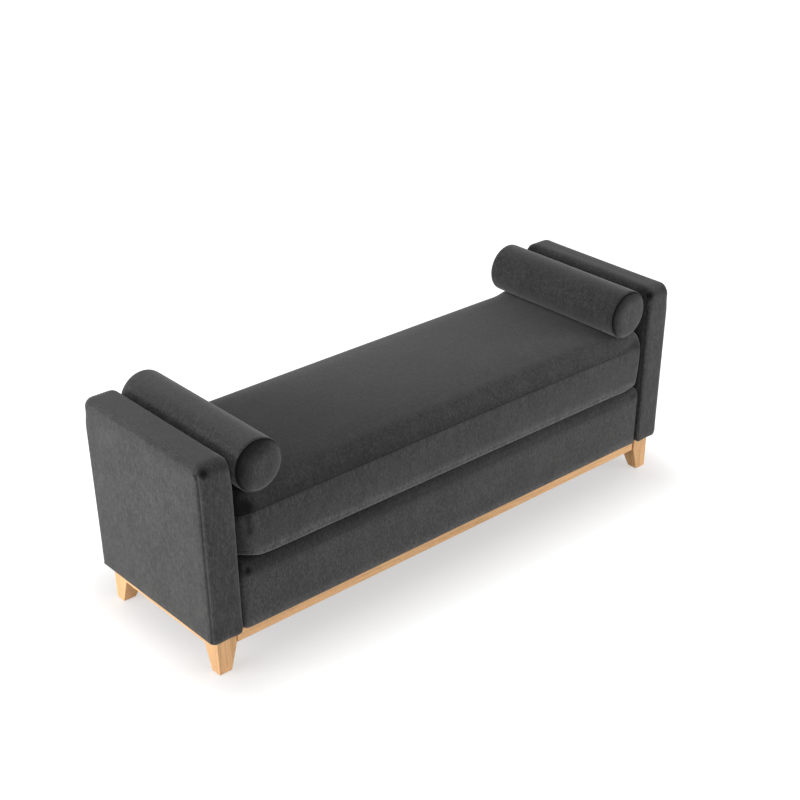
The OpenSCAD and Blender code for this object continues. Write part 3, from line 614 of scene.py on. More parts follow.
def curve_weights(knots, places):
    """Matrix that carries values at the knots onto the natural cubic curve through them."""
    n = len(knots)
    h = np.diff(knots)
    left = np.eye(n)
    right = np.zeros((n, n))
    for k in range(1, n - 1):
        left[k, k - 1:k + 2] = h[k - 1], 2 * (h[k - 1] + h[k]), h[k]
        right[k, k - 1:k + 2] = 6 / h[k - 1], -6 / h[k - 1] - 6 / h[k], 6 / h[k]
    bend = np.linalg.solve(left, right)
    k = np.clip(np.searchsorted(knots, places, side="right") - 1, 0, n - 2)
    before = (knots[k + 1] - places)[:, None]
    after = (places - knots[k])[:, None]
    gap = h[k][:, None]
    unit = np.eye(n)
    return ((bend[k] * before ** 3 + bend[k + 1] * after ** 3) / (6 * gap)
            + (unit[k] / gap - bend[k] * gap / 6) * before
            + (unit[k + 1] / gap - bend[k + 1] * gap / 6) * after)


def round_places(places):
    """Running places of a border's points, and its whole length."""
    px, py = places
    x, y = px - px[0], py - py[0]
    run = np.concatenate([x, x[-1] + y[1:], x[-1] + y[-1] + (x[-1] - x[-2::-1]),
                          2 * x[-1] + y[-1] + (y[-1] - y[-2:0:-1])])
    return run, 2 * (x[-1] + y[-1])


def carry(shift, coarse, fine):
    """A shift of the coarse form's points, carried onto the fine form's lines."""
    wx = curve_weights(coarse["places"][0], fine["places"][0])
    wy = curve_weights(coarse["places"][1], fine["places"][1])
    run, length = round_places(coarse["places"])
    to, _ = round_places(fine["places"])
    wrap = 8
    knots = np.concatenate([run[-wrap:] - length, run, run[:wrap] + length])
    values = np.concatenate([shift["strip"][:, -wrap:], shift["strip"], shift["strip"][:, :wrap]], axis=1)
    around = curve_weights(knots, to)
    down = curve_weights(np.array(coarse["rows"]), np.array(fine["rows"]))
    for k in ("top", "bottom"):
        fine[k] = fine[k] + np.einsum("ai,bj,ijk->abk", wx, wy, shift[k])
    fine["strip"] = fine["strip"] + np.einsum("ai,bj,ijk->abk", down, around, values)
    return fine


def cloth_shift(points, faces, pinned, limit):
    """How far pressure moves each point of the cover in a cloth simulation, with the pinned points held."""
    scene = bpy.context.scene
    trial = new_piece("cloth_trial", points, faces, None)
    trial.vertex_groups.new(name="sewn").add([int(k) for k in pinned], 1.0, "REPLACE")
    cloth = trial.modifiers.new("cloth", "CLOTH")
    for key, value in CLOTH.items():
        setattr(cloth.settings, key, value)
    cloth.settings.uniform_pressure_force = sizes().pressure
    cloth.settings.effector_weights.gravity = 0.0
    cloth.collision_settings.use_collision = False
    cloth.point_cache.frame_start = 1
    cloth.point_cache.frame_end = CLOTH_FRAMES
    for step in range(1, CLOTH_FRAMES + 1):
        scene.frame_set(step)
    shape = trial.evaluated_get(bpy.context.evaluated_depsgraph_get())
    shift = points_of(shape.data) - points
    scene.frame_set(1)
    bpy.data.objects.remove(trial)
    length = np.linalg.norm(shift, axis=1, keepdims=True)
    return shift * limit * np.tanh(length / limit) / np.maximum(length, 1e-9)


def sewn_piece(name, form, start, steps, rows, turn, puff, hold, pin=None, edges=(EDGE_FINE, EDGE_COARSE)):
    """Builds a form on coarse lines, lets the cloth settle, and carries the shift onto the fine lines.
    Steps, rows and edges are the fine and the coarse ones. Gives the piece, its seams and its points
    before the turn."""
    coarse = form.build(millimetres(edges[1], start), steps[1], rows[1])
    points, faces, seams = join_parts(coarse)
    pinned = np.unique(np.concatenate(seams)) if pin is None else pin(points)
    shift = cloth_shift(points, faces, pinned, puff)
    fine = form.build(millimetres(edges[0], start), steps[0], rows[0])
    points, faces, seams = join_parts(carry(split_parts(coarse, shift), coarse, fine))
    points = hold(points)
    return new_piece(name, turn(points), faces, FINISHES["velvet"]), seams, points


def as_it_is(points):
    return points


def tighter(q, keep, first, last):
    """Distances from an edge, the nearest drawn closer to it, so that a rounding there gets smaller."""
    eased = keep * first + (q - first) * (last - keep * first) / (last - first)
    return np.where(q < first, keep * q, np.where(q < last, eased, q))


# Pile, seams and dimples


def rim_highlight(points, low, painted_light, height, width):
    """Painted highlight along a lower rim."""
    return painted_light * smooth((low + height - points[:, 2]) / width)


def painted_shading_of(mesh):
    """The point attribute crease, which holds the velvet's painted shade and highlight, and its values."""
    layer = mesh.attributes.get("crease") or mesh.attributes.new("crease", "FLOAT", "POINT")
    held = np.zeros(len(mesh.vertices), np.float32)
    layer.data.foreach_get("value", held)
    return layer, held


def add_painted_shading(mesh, strength):
    """Adds to the attribute crease: painted shade up to 1, painted highlight down to -1."""
    layer, held = painted_shading_of(mesh)
    layer.data.foreach_set("value", np.clip(held + strength, -1, 1).astype(np.float32))


def lay_shaded_velvets(mesh):
    """Gives each face the copy of the velvet that belongs to its painted shade; the shadier copies have less
    sheen.
    """
    _, crease = painted_shading_of(mesh)
    mesh.materials.clear()
    for name, _, _ in VELVET_SHADES:
        mesh.materials.append(FINISHES[name])
    for face in mesh.polygons:
        depth = crease[list(face.vertices)].mean()
        face.material_index = sum(depth > least for _, least, _ in VELVET_SHADES[1:])


def groove(mesh, paths, depth, width, dark):
    """Draws the surface in along seam paths of (points, weights), and paints shade into the groove."""
    points = points_of(mesh)
    normals = normals_of(mesh)
    spots = np.concatenate([p for p, _ in paths])
    weights = np.concatenate([w for _, w in paths])
    tree = KDTree(len(spots))
    for k, spot in enumerate(spots):
        tree.insert(spot, k)
    tree.balance()
    draw = np.zeros(len(points))
    shade = np.zeros(len(points))
    for k, point in enumerate(points):
        _, which, distance = tree.find(point)
        if distance < 3.5 * width:
            draw[k] = weights[which] * math.exp(-(distance / width) ** 1.5)
            shade[k] = weights[which] * math.exp(-(distance / (0.6 * width)) ** 2)
    set_points(mesh, points - normals * (depth * draw)[:, None])
    add_painted_shading(mesh, dark * shade)


def dimple(mesh, spots, form, ends=None, pull=1.0):
    """Pulls the surface straight in at spots, or along lines from a spot to its end, and paints shade into
    the dimple.
    """
    radius, depth, dark = form[0], form[1] * sizes().dimple_depth * pull, form[2] * pull
    points = points_of(mesh)
    normals = normals_of(mesh)
    shade = np.zeros(len(points))
    for k, spot in enumerate(spots):
        a = points[np.argmin(np.linalg.norm(points - spot, axis=1))]
        b = points[np.argmin(np.linalg.norm(points - ends[k], axis=1))] if ends else a
        line = b - a
        share = np.clip(((points - a) @ line) / max(line @ line, 1e-12), 0, 1)
        offset = points - a - share[:, None] * line
        distance = np.sqrt(np.einsum("ij,ij->i", offset, offset))
        near = normals[distance < radius].mean(axis=0)
        inward = -near / np.linalg.norm(near)
        facing = smooth(np.clip(-(normals @ inward), 0, 1) * 1.6)
        points = points + inward * (depth * np.exp(-(distance / radius) ** 2) * facing)[:, None]
        shade += dark * np.exp(-(distance / (1.3 * radius)) ** 2) * facing
    set_points(mesh, points)
    add_painted_shading(mesh, shade)


def runs_of(weights, least):
    """Stretches of a closed line whose weights pass a least value, as index arrays and closed or not."""
    on = weights > least
    if on.all():
        return [(np.arange(len(on)), True)]
    first = int(np.flatnonzero(~on)[0])
    order = np.roll(np.arange(len(on)), -first)
    breaks = np.flatnonzero(np.diff(on[order].astype(int)))
    parts = np.split(order, breaks + 1)
    return [(part, False) for part in parts if on[part[0]] and len(part) > 3]


def sew(piece, seams, depth, width, welt, dark=0.6):
    """Draws a piece in along its seams with painted shade, and lays a thin welt in them. Seams are (indices,
    weights); depth, width and welt are shares of the sizes that the panel gives; dark is the painted shade."""
    mesh = piece.data
    radius = sizes().welt_radius * welt
    before = points_of(mesh)
    paths = [(before[k], w) for k, w in seams]
    groove(mesh, paths, sizes().seam_depth * depth, sizes().seam_width * width, dark)
    after = points_of(mesh)
    normals = normals_of(mesh)
    welts = []
    for k, w in seams:
        line = after[k] + normals[k] * radius * 0.3
        for run, closed in runs_of(w, 0.12):
            host = path_object(line[run], np.clip(w[run], 0.1, 1.0), closed)
            welts.append(grown("welt", host, TREES["welt"], {
                "Radius": radius, "Spacing": 0.0035, "Material": mesh.materials[0]}))
    absorb(piece, welts)


def absorb(piece, others):
    """Joins other pieces' meshes into a piece."""
    work = bmesh.new()
    work.from_mesh(piece.data)
    for other in others:
        mesh = other.data
        work.from_mesh(mesh)
        bpy.data.objects.remove(other)
        bpy.data.meshes.remove(mesh)
    work.to_mesh(piece.data)
    work.free()
    shade_smooth(piece.data)


# Geometry node trees


def tree_with(name, sockets):
    """An empty geometry tree with named inputs of (name, type, default)."""
    tree = bpy.data.node_groups.new(name, "GeometryNodeTree")
    tree.interface.new_socket("Geometry", in_out="INPUT", socket_type="NodeSocketGeometry")
    tree.interface.new_socket("Geometry", in_out="OUTPUT", socket_type="NodeSocketGeometry")
    for label, kind, default in sockets:
        socket = tree.interface.new_socket(label, in_out="INPUT", socket_type=kind)
        if default is not None:
            socket.default_value = default
    return tree, tree.nodes.new("NodeGroupInput").outputs


def close_tree(tree, geometry, material):
    real = wire(tree, "GeometryNodeRealizeInstances", {"Geometry": geometry})
    smooth_on = wire(tree, "GeometryNodeSetShadeSmooth", {"Geometry": real.outputs[0]})
    painted = wire(tree, "GeometryNodeSetMaterial", {"Geometry": smooth_on.outputs[0], "Material": material})
    wire(tree, "NodeGroupOutput", {0: painted.outputs[0]})
    return tree


def welt_tree():
    """A thin welt along a path of edges; the point attribute 'weight' thins it out."""
    tree, given = tree_with("seam_welt", [
        ("Radius", "NodeSocketFloat", 0.0012), ("Spacing", "NodeSocketFloat", 0.004),
        ("Material", "NodeSocketMaterial", None),
    ])
    line = wire(tree, "GeometryNodeMeshToCurve", {"Mesh": given["Geometry"]})
    even = wire(tree, "GeometryNodeResampleCurve", {"Curve": line.outputs[0], "Length": given["Spacing"]},
                mode="LENGTH")
    weight = wire(tree, "GeometryNodeInputNamedAttribute", {"Name": "weight"}, data_type="FLOAT")
    sized = wire(tree, "GeometryNodeSetCurveRadius", {"Curve": even.outputs[0], "Radius": weight.outputs[0]})
    ring = wire(tree, "GeometryNodeCurvePrimitiveCircle", {"Resolution": 8, "Radius": given["Radius"]})
    tube = wire(tree, "GeometryNodeCurveToMesh",
                {"Curve": sized.outputs[0], "Profile Curve": ring.outputs[0], "Fill Caps": True})
    return close_tree(tree, tube.outputs[0], given["Material"])


def row_tree():
    """Copies of a small mesh object along a path, every second one turned over, each a little astray."""
    tree, given = tree_with("copies_in_a_row", [
        ("Pitch", "NodeSocketFloat", 0.01), ("Shape", "NodeSocketObject", None),
        ("Turn", "NodeSocketVector", None), ("Swing", "NodeSocketVector", None),
        ("Sway", "NodeSocketFloat", 0.0), ("Seed", "NodeSocketInt", 7),
        ("Material", "NodeSocketMaterial", None),
    ])
    line = wire(tree, "GeometryNodeMeshToCurve", {"Mesh": given["Geometry"]})
    points = wire(tree, "GeometryNodeCurveToPoints", {"Curve": line.outputs[0], "Length": given["Pitch"]},
                  mode="LENGTH")
    shape = wire(tree, "GeometryNodeObjectInfo", {"Object": given["Shape"]})
    index = wire(tree, "GeometryNodeInputIndex")
    odd = wire(tree, "ShaderNodeMath", {0: index.outputs[0], 1: 2.0}, operation="MODULO")
    swing = wire(tree, "ShaderNodeVectorMath", {0: given["Swing"], "Scale": odd.outputs[0]},
                 operation="SCALE")
    turned = wire(tree, "ShaderNodeVectorMath", {0: given["Turn"], 1: swing.outputs[0]}, operation="ADD")
    loose = wire(tree, "FunctionNodeRandomValue", {2: -1.0, 3: 1.0, "Seed": given["Seed"]},
                 data_type="FLOAT")
    drift = wire(tree, "ShaderNodeMath", {0: loose.outputs[1], 1: given["Sway"]}, operation="MULTIPLY")
    lean = wire(tree, "ShaderNodeCombineXYZ", {"Z": drift.outputs[0]})
    final = wire(tree, "ShaderNodeVectorMath", {0: turned.outputs[0], 1: lean.outputs[0]}, operation="ADD")
    copies = wire(tree, "GeometryNodeInstanceOnPoints", {
        "Points": points.outputs["Points"], "Instance": shape.outputs["Geometry"],
        "Rotation": final.outputs[0],
    })
    return close_tree(tree, copies.outputs[0], given["Material"])


def grown(name, host, tree, values):
    """Runs a tree on a host path and keeps the result as a plain mesh piece."""
    mod = host.modifiers.new("growth", "NODES")
    mod.node_group = tree
    for item in tree.interface.items_tree:
        if item.item_type == "SOCKET" and item.in_out == "INPUT" and item.name in values:
            mod[item.identifier] = values[item.name]
    shape = host.evaluated_get(bpy.context.evaluated_depsgraph_get())
    mesh = bpy.data.meshes.new_from_object(shape)
    mesh.name = name
    bpy.data.objects.remove(host)
    if not len(mesh.polygons):
        raise RuntimeError(f"{name}: the tree made nothing")
    return linked(name, mesh)


def path_object(points, weights=None, closed=True):
    """A line of edges for a tree to follow."""
    mesh = bpy.data.meshes.new("path")
    count = len(points)
    edges = [(k, (k + 1) % count) for k in range(count if closed else count - 1)]
    mesh.from_pydata([tuple(p) for p in points], edges, [])
    if weights is not None:
        layer = mesh.attributes.new("weight", "FLOAT", "POINT")
        layer.data.foreach_set("value", np.array(weights, np.float32))
    return linked("path", mesh)


# Operators


class BENCH_OT_oak_base(bpy.types.Operator):
    """Legs, rails and stretchers of oak with eased edges"""

    bl_idname = "bench.oak_base"
    bl_label = "Oak base"

    def execute(self, context):
        pieces = {node: leg_piece(node) for node in LEGS}
        pieces.update({node: rail_piece(node, grain) for node, grain in RAILS.items()})
        for node, piece in pieces.items():
            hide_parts(node)
            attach(piece, "bench")
        return {"FINISHED"}


def rail_piece(node, grain):
    """A rail or stretcher; an end rail's outer face stands out as the legs' do."""
    piece = eased_copy(node, "oak_" + node, FINISHES[grain], sizes().eased_edge)
    if node in ("rail_left", "rail_right"):
        points = points_of(piece.data)
        reach = np.abs(points[:, 0])
        points[:, 0] += np.sign(points[:, 0]) * BASE_OUT * (reach > reach.max() - 0.002)
        set_points(piece.data, points)
    return piece


def leg_piece(node):
    """Tapered leg with a small flare under the rails, a rounded outer corner and a recess for its glide."""
    low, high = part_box(node)
    sx = 1 if low.x > 0 else -1
    sy = 1 if low.y > 0 else -1
    outer = (high.x if sx > 0 else low.x, high.y if sy > 0 else low.y)
    foot = low.z
    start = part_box("rail_front")[0].z - LEG_FLARE
    per_corner = 6
    count = 4 * per_corner
    # Levels of height, width, depth and shrink
    levels = [(foot + up, *LEG_FOOT, shrink)
              for up, shrink in ((0.0, 0.0006), (0.0006, 0.0001), (0.0012, 0.0))]
    for share in (0.25, 0.5, 0.75, 1.0):
        wide, deep = (a + (b - a) * share for a, b in zip(LEG_FOOT, LEG_NECK))
        levels.append((foot + (start - foot) * share, wide, deep, 0.0))
    for k in range(1, 7):
        turn = math.radians(15 * k)
        wide, deep = (LEG_BLOCK - (LEG_BLOCK - w) * math.cos(turn) for w in LEG_NECK)
        levels.append((start + LEG_FLARE * math.sin(turn), wide, deep, 0.0))
    levels.append((high.z - 0.0008, LEG_BLOCK, LEG_BLOCK, 0.0))
    levels.append((high.z, LEG_BLOCK, LEG_BLOCK, 0.0006))

    def ring(z, wide, deep, shrink):
        corners = ((0, 0, 0.0018), (wide, 0, 0.0012), (wide, deep, 0.0012), (0, deep, 0.0012))
        made = []
        for q, (cx, cy, r) in enumerate(corners):
            mid = (cx + (r if cx == 0 else -r), cy + (r if cy == 0 else -r))
            for k in range(per_corner):
                a = math.radians(180 + 90 * q + 90 * k / (per_corner - 1))
                x = mid[0] + r * math.cos(a)
                y = mid[1] + r * math.sin(a)
                x = wide / 2 + (x - wide / 2) * (1 - 2 * shrink / wide)
                y = deep / 2 + (y - deep / 2) * (1 - 2 * shrink / deep)
                made.append((x, y, z))
        return made

    turns = [math.radians(225 + 360 * (k - (per_corner - 1) / 2) / count) for k in range(count)]
    rings = [[(GLIDE_CENTRE + GLIDE_RADIUS * math.cos(a), GLIDE_CENTRE + GLIDE_RADIUS * math.sin(a), z)
              for a in turns] for z in (foot + GLIDE_RECESS, foot)]
    rings += [ring(*level) for level in levels]
    faces = []
    for a in range(len(rings) - 1):
        for k in range(count):
            n = (k + 1) % count
            faces.append((a * count + k, a * count + n, (a + 1) * count + n, (a + 1) * count + k))
    faces.append(tuple(range(count))[::-1])
    last = (len(rings) - 1) * count
    faces.append(tuple(last + k for k in range(count)))
    if sx * sy < 0:
        faces = [f[::-1] for f in faces]
    placed = []
    for level, points in enumerate(rings):
        out = BASE_OUT if level >= 2 else 0.0
        placed += [(outer[0] - sx * (x - out), outer[1] - sy * y, z) for x, y, z in points]
    return new_piece("oak_" + node, placed, faces, FINISHES["oak_upright"], 28)


def quarter(width, height):
    """Even steps along a quarter of an ellipse, as a table of share and turn."""
    turn = np.linspace(0, np.pi / 2, 181)
    step = np.hypot(np.diff(width * (1 - np.cos(turn))), np.diff(height * np.sin(turn)))
    run = np.concatenate([[0], np.cumsum(step)])
    return run / run[-1], turn


def cushion_form():
    """The cushion's form, and the heights of the deck and of its two seams."""
    low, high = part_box("seat_cushion_cover")
    half = (high.x - CUSHION_BULGE, high.y - CUSHION_BULGE)
    deck = low.z - 0.0003
    seam_low = deck + LOW_SEAM
    seam_high = seam_low + BOXING
    share, turn_at = quarter(SHOULDER_W, SHOULDER_H)
    lip_mid = sizes().lip

    def turn_of(c):
        return np.interp(np.clip(c / SHOULDER_W, 0, 1), share, turn_at)

    def top(c):
        turn = turn_of(c)
        inset = np.where(c < SHOULDER_W, SHOULDER_W * (1 - np.cos(turn)), c)
        corner = CUSHION_CORNER * (1 - smooth((c - SHOULDER_W) / 0.1))
        return inset, seam_high + SHOULDER_H * np.sin(turn), corner

    def strip(s):
        t = s / BOXING
        bulge = -CUSHION_BULGE * math.sin(math.pi * t)
        corner = CUSHION_CORNER + (LOW_CORNER - CUSHION_CORNER) * t
        return bulge, seam_high + (seam_low - seam_high) * t, corner

    def bottom(c):
        first = -math.asin(lip_mid / LIP_HIGH)
        turn = first + (np.pi / 2 - first) * np.clip(c / LOW_LIP, 0, 1)
        roll = LIP_WIDE * (math.cos(first) - np.cos(turn))
        flat = c - (LOW_LIP - LIP_WIDE * math.cos(first)) * (1 - smooth((c - LOW_LIP) / 0.04))
        drop = (LOW_SEAM - 0.0005 - lip_mid - LIP_HIGH) * smooth((c - LOW_LIP) / 0.03)
        corner = LOW_CORNER * (1 - smooth((c - LOW_LIP) / 0.09))
        height = seam_low - lip_mid - LIP_HIGH * np.sin(turn) - drop
        return np.where(c < LOW_LIP, roll, flat), height, corner

    def flatter(c, p):
        """What the shoulder sinks by where it leans back: along the front, not at its ends."""
        u = np.cos(turn_of(c))
        sunk = np.sqrt(1 - (math.cos(FRONT_LEAN) * u) ** 2) - math.sin(FRONT_LEAN)
        sunk = sunk / (1 - math.sin(FRONT_LEAN))
        front = smooth((-p[..., 1] / half[1] - 0.3) / 0.4)
        front = front * smooth((half[0] - 0.02 - np.abs(p[..., 0])) / 0.08)
        return SHOULDER_H * (sunk - np.sqrt(np.maximum(1 - u ** 2, 0))) * front

    def finish(kind, c, p):
        # The right-hand end is tighter, so its corners and edges are smaller
        near = smooth((p[..., 0] - half[0] + 0.16) / 0.08)
        qx, qy = half[0] - p[..., 0], half[1] - np.abs(p[..., 1])
        keep = 0.32 + (0.33 * smooth(turn_of(c) / 0.6) if kind == "top" else 0.0)
        p[..., 0] = np.where(p[..., 0] > 0, half[0] - tighter(qx, keep, 0.06, 0.16), p[..., 0])
        p[..., 1] = np.sign(p[..., 1]) * (half[1] - qy - near * (tighter(qy, 0.32, 0.06, 0.16) - qy))
        lift = SEAM_LIFT * (1 - (p[..., 0] / half[0]) ** 2)
        if kind == "top":
            p[..., 2] += flatter(c, p)
            beyond = np.maximum(np.abs(p[..., 0]) - (half[0] - half[1]), 0) / half[1]
            crown = CUSHION_CROWN * (1 - (p[..., 1] / half[1]) ** 2) * (1 - beyond ** 2)
            p[..., 2] += lift * (1 - turn_of(c) / (np.pi / 2)) + np.maximum(crown, 0)
        if kind == "strip":
            p[..., 2] += lift * (1 - c / BOXING)
        if kind != "top":
            reach = 1.0 if kind == "bottom" else (c / BOXING) ** 2
            for sx, sy, rise, wide in CORNER_LIFTS:
                away = np.hypot(p[..., 0] - sx * half[0], p[..., 1] - sy * half[1])
                p[..., 2] += rise * reach * np.exp(-(away / wide) ** 2)
        return p

    return SewnForm(half, 0.12, top, strip, bottom, finish), deck, seam_low, seam_high


def bolster_place(side):
    """Place of a bolster's axis in X and Z, its radius and its half length."""
    low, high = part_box(f"bolster_{side}_cover")
    return (low.x + high.x) / 2, (low.z + high.z) / 2, (high.x - low.x) / 2, high.y


class BENCH_OT_seat_cushion(bpy.types.Operator):
    """Loose boxed cushion with a crowned top, drawn in at both seams"""

    bl_idname = "bench.seat_cushion"
    bl_label = "Seat cushion"

    def execute(self, context):
        form, deck, seam_low, seam_high = cushion_form()
        limit_low, limit_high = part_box("seat_cushion_cover")
        zip_low, zip_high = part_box("cushion_zip")
        zip_z = (zip_low.z + zip_high.z) / 2
        zip_row = seam_high - zip_z
        ends, near_zip = millimetres(BOXING_ENDS), millimetres(BOXING_AT_ZIP)
        rows = (ends + [zip_row - r for r in near_zip] + [zip_row] + [zip_row + r for r in near_zip[::-1]]
                + [BOXING - r for r in ends[::-1]])

        def hold(p):
            p[:, 0] = np.clip(p[:, 0], limit_low.x - 0.0008, limit_high.x + 0.0008)
            p[:, 2] = np.maximum(p[:, 2], deck + 0.0005)
            for side in ("left", "right"):
                x, z, r, _ = bolster_place(side)
                across = np.abs(p[:, 0] - x)
                ceiling = z - np.sqrt(np.maximum((r + PRESS_GAP) ** 2 - across ** 2, 0))
                under = (across < r) & (p[:, 2] > seam_high) & (p[:, 2] < z)
                share = np.clip(0.5 + 0.5 * (ceiling - p[:, 2]) / PRESS, 0, 1)
                eased = ceiling + (p[:, 2] - ceiling) * share - PRESS * share * (1 - share)
                p[:, 2] = np.where(under, eased, p[:, 2])
            at_zip = (np.abs(p[:, 0]) < zip_high.x) & (p[:, 1] > 0)
            above = np.abs(p[:, 2] - zip_z)
            for wide, deep in ((ZIP_LIPS, ZIP_LIP_DEEP), (ZIP_SLOT, ZIP_DEEP)):
                p[:, 1] = np.where(at_zip & (above < wide), np.minimum(p[:, 1], zip_high.y - deep), p[:, 1])
            return p

        piece, (top_seam, low_seam), _ = sewn_piece(
            "cushion_cover", form, 0.0, (0.012, 0.016), (rows, np.linspace(0, BOXING, 11)), as_it_is,
            sizes().cushion_puff, hold)
        mesh = piece.data
        x, y = form.half[0] - 0.028, form.half[1] - 0.008
        # Dimples with painted shade above and below the upper seam's corners, most at the left-hand end
        for sx, pull in ((-1, 1.0), (1, 0.3)):
            dimple(mesh, at_both(sx * x, y, seam_high + 0.020), CUSHION_DIMPLE, pull=pull)
            dimple(mesh, at_both(sx * x, y + 0.006, seam_high - 0.008), CUSHION_PUCKER,
                   at_both(sx * x, y + 0.006, seam_high - 0.045), pull)
        spots = points_of(mesh)
        path = (spots[low_seam], np.full(len(low_seam), 0.12))
        groove(mesh, [path], sizes().seam_depth, sizes().seam_width, 0.1)
        # Painted shade above the upper seam, and a painted highlight along the lower rim
        place = spots[:, 0] / form.half[0]
        above = spots[:, 2] - seam_high - SEAM_LIFT * (1 - place ** 2)
        closed, height = (most - fall * place for most, fall in CUSHION_SEAM_SHADE)
        add_painted_shading(mesh, np.where(above > 0.0008, closed * (1 - smooth(above / height)), 0.0))
        add_painted_shading(mesh, rim_highlight(spots, seam_low, *CUSHION_RIM_HIGHLIGHT))
        sew(piece, [(top_seam, np.full(len(top_seam), 0.6))], 1.0, 1.0, 0.8)
        lay_shaded_velvets(mesh)
        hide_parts("seat_cushion_cover", "seat_cushion_foam")
        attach(piece, "seat_cushion")
        return {"FINISHED"}


def bolster_form(r, half):
    """A bolster upright at the origin; its discs are the top and the bottom."""

    def disc(c, flip=1):
        rise = BOLSTER_DOME * (1 - ((r - c) / r) ** 5)
        dip = sizes().disc_dip * np.exp(-((c - BOLSTER_SEAM - 0.0035) / 0.003) ** 2)
        return c, flip * (half + (rise - dip) * smooth((c - BOLSTER_SEAM) / 0.002)), r - c

    def strip(s):
        near = min(s, 2 * half - s)
        inset = BOLSTER_SEAM * (1 - float(smooth(near / 0.005)))
        return inset, half - s, r - inset

    return SewnForm((r, r), r, disc, strip, lambda c: disc(c, -1), lambda kind, c, p: p)


class BENCH_OT_bolsters(bpy.types.Operator):
    """Round bolsters with domed discs sewn in at both ends"""

    bl_idname = "bench.bolsters"
    bl_label = "Bolsters"

    def execute(self, context):
        for side, to_arm in (("left", -1), ("right", 1)):
            x, z, r, end = bolster_place(side)
            half = end - BOLSTER_DOME

            def hold(p):
                across = np.hypot(p[:, 0], p[:, 1])
                p[:, :2] *= np.minimum(1, r / np.maximum(across, 1e-9))[:, None]
                p[:, 2] = np.clip(p[:, 2], -end - 0.003, end + 0.003)
                return p

            def turn(p):
                return np.stack([x + p[:, 1], p[:, 2], z + p[:, 0]], -1)

            rows = (even_rows(2 * half, DISC_FINE, 36), np.linspace(0, 2 * half, 41))
            piece, seams, points = sewn_piece(
                f"bolster_{side}", bolster_form(r, half), BOLSTER_SEAM, (0.005, 0.010), rows, turn,
                sizes().bolster_puff, hold, edges=(DISC_FINE, DISC_COARSE))
            # The disc's seam is drawn in most at its upper front part, where the disc also gets the most
            # painted
            #             shade; a painted highlight lightens the shade where the side faces the arm
            across = np.maximum(np.hypot(points[:, 0], points[:, 1]), 1e-6)
            pulled = smooth(0.42 + 0.6 * (0.66 * points[:, 0] - 0.75 * points[:, 1]) / across)
            inside = r - across - BOLSTER_SEAM
            strength, reach = DISC_SHADE[side]
            closed = DISC_SEAM_SHADE * np.exp(-((inside - 0.003) / 0.0028) ** 2)
            closed = (closed + strength * (1 - smooth(inside / reach))) * pulled
            painted_light = BOLSTER_ARM_SIDE_HIGHLIGHT * smooth((points[:, 1] / across * to_arm - 0.60) / 0.30)
            add_painted_shading(piece.data, np.where(np.abs(points[:, 2]) > half + 0.0002, closed, painted_light))
            sew(piece, [(k, pulled[k]) for k in seams], 0.25, 0.7, 0.8, 0.0)
            lay_shaded_velvets(piece.data)
            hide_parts(f"bolster_{side}_cover", f"bolster_{side}_core")
            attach(piece, f"bolster_{side}")
        return {"FINISHED"}


def edge_table(radius, turn):
    """Inset and drop on a quarter-round edge, at a turn from its side."""
    return radius * (1 - np.cos(turn)), radius * (1 - np.sin(turn))


def arm_form(half, thick):
    """An arm lying at the origin with its inner panel down. Gives its form, the start of its panels and
    its strip's length."""
    start = ARM_EDGE * (1 - math.cos(ARM_SEAM_TURN))
    bow = ARM_EDGE * ARM_SEAM_TURN
    length = 2 * bow + 2 * (thick - ARM_CROWN - ARM_EDGE)

    def panel(c, flip=1):
        turn = ARM_SEAM_TURN + (np.pi / 2 - ARM_SEAM_TURN) * np.clip((c - start) / (ARM_EDGE - start), 0, 1)
        inset, drop = edge_table(ARM_EDGE, turn)
        inset = np.where(c < ARM_EDGE, inset, c)
        corner = np.maximum(ARM_CORNER - inset, 0.001) * (1 - smooth((c - 0.02) / 0.05))
        return inset, flip * (thick - ARM_CROWN - drop), corner

    def strip(s):
        near = min(s, length - s)
        inset, drop = map(float, edge_table(ARM_EDGE, ARM_SEAM_TURN * max(0.0, 1 - near / bow)))
        height = thick - ARM_CROWN - drop - max(0.0, near - bow)
        return inset, height if s < length / 2 else -height, ARM_CORNER - inset

    def finish(kind, c, p):
        if kind != "strip":
            pillow = (1 - np.abs(p[..., 0] / half[0]) ** 2.6) * (1 - np.abs(p[..., 1] / half[1]) ** 2.6)
            p[..., 2] += (1 if kind == "top" else -1) * ARM_CROWN * np.maximum(pillow, 0)
        return p

    return SewnForm(half, 0.09, panel, strip, lambda c: panel(c, -1), finish), start, length


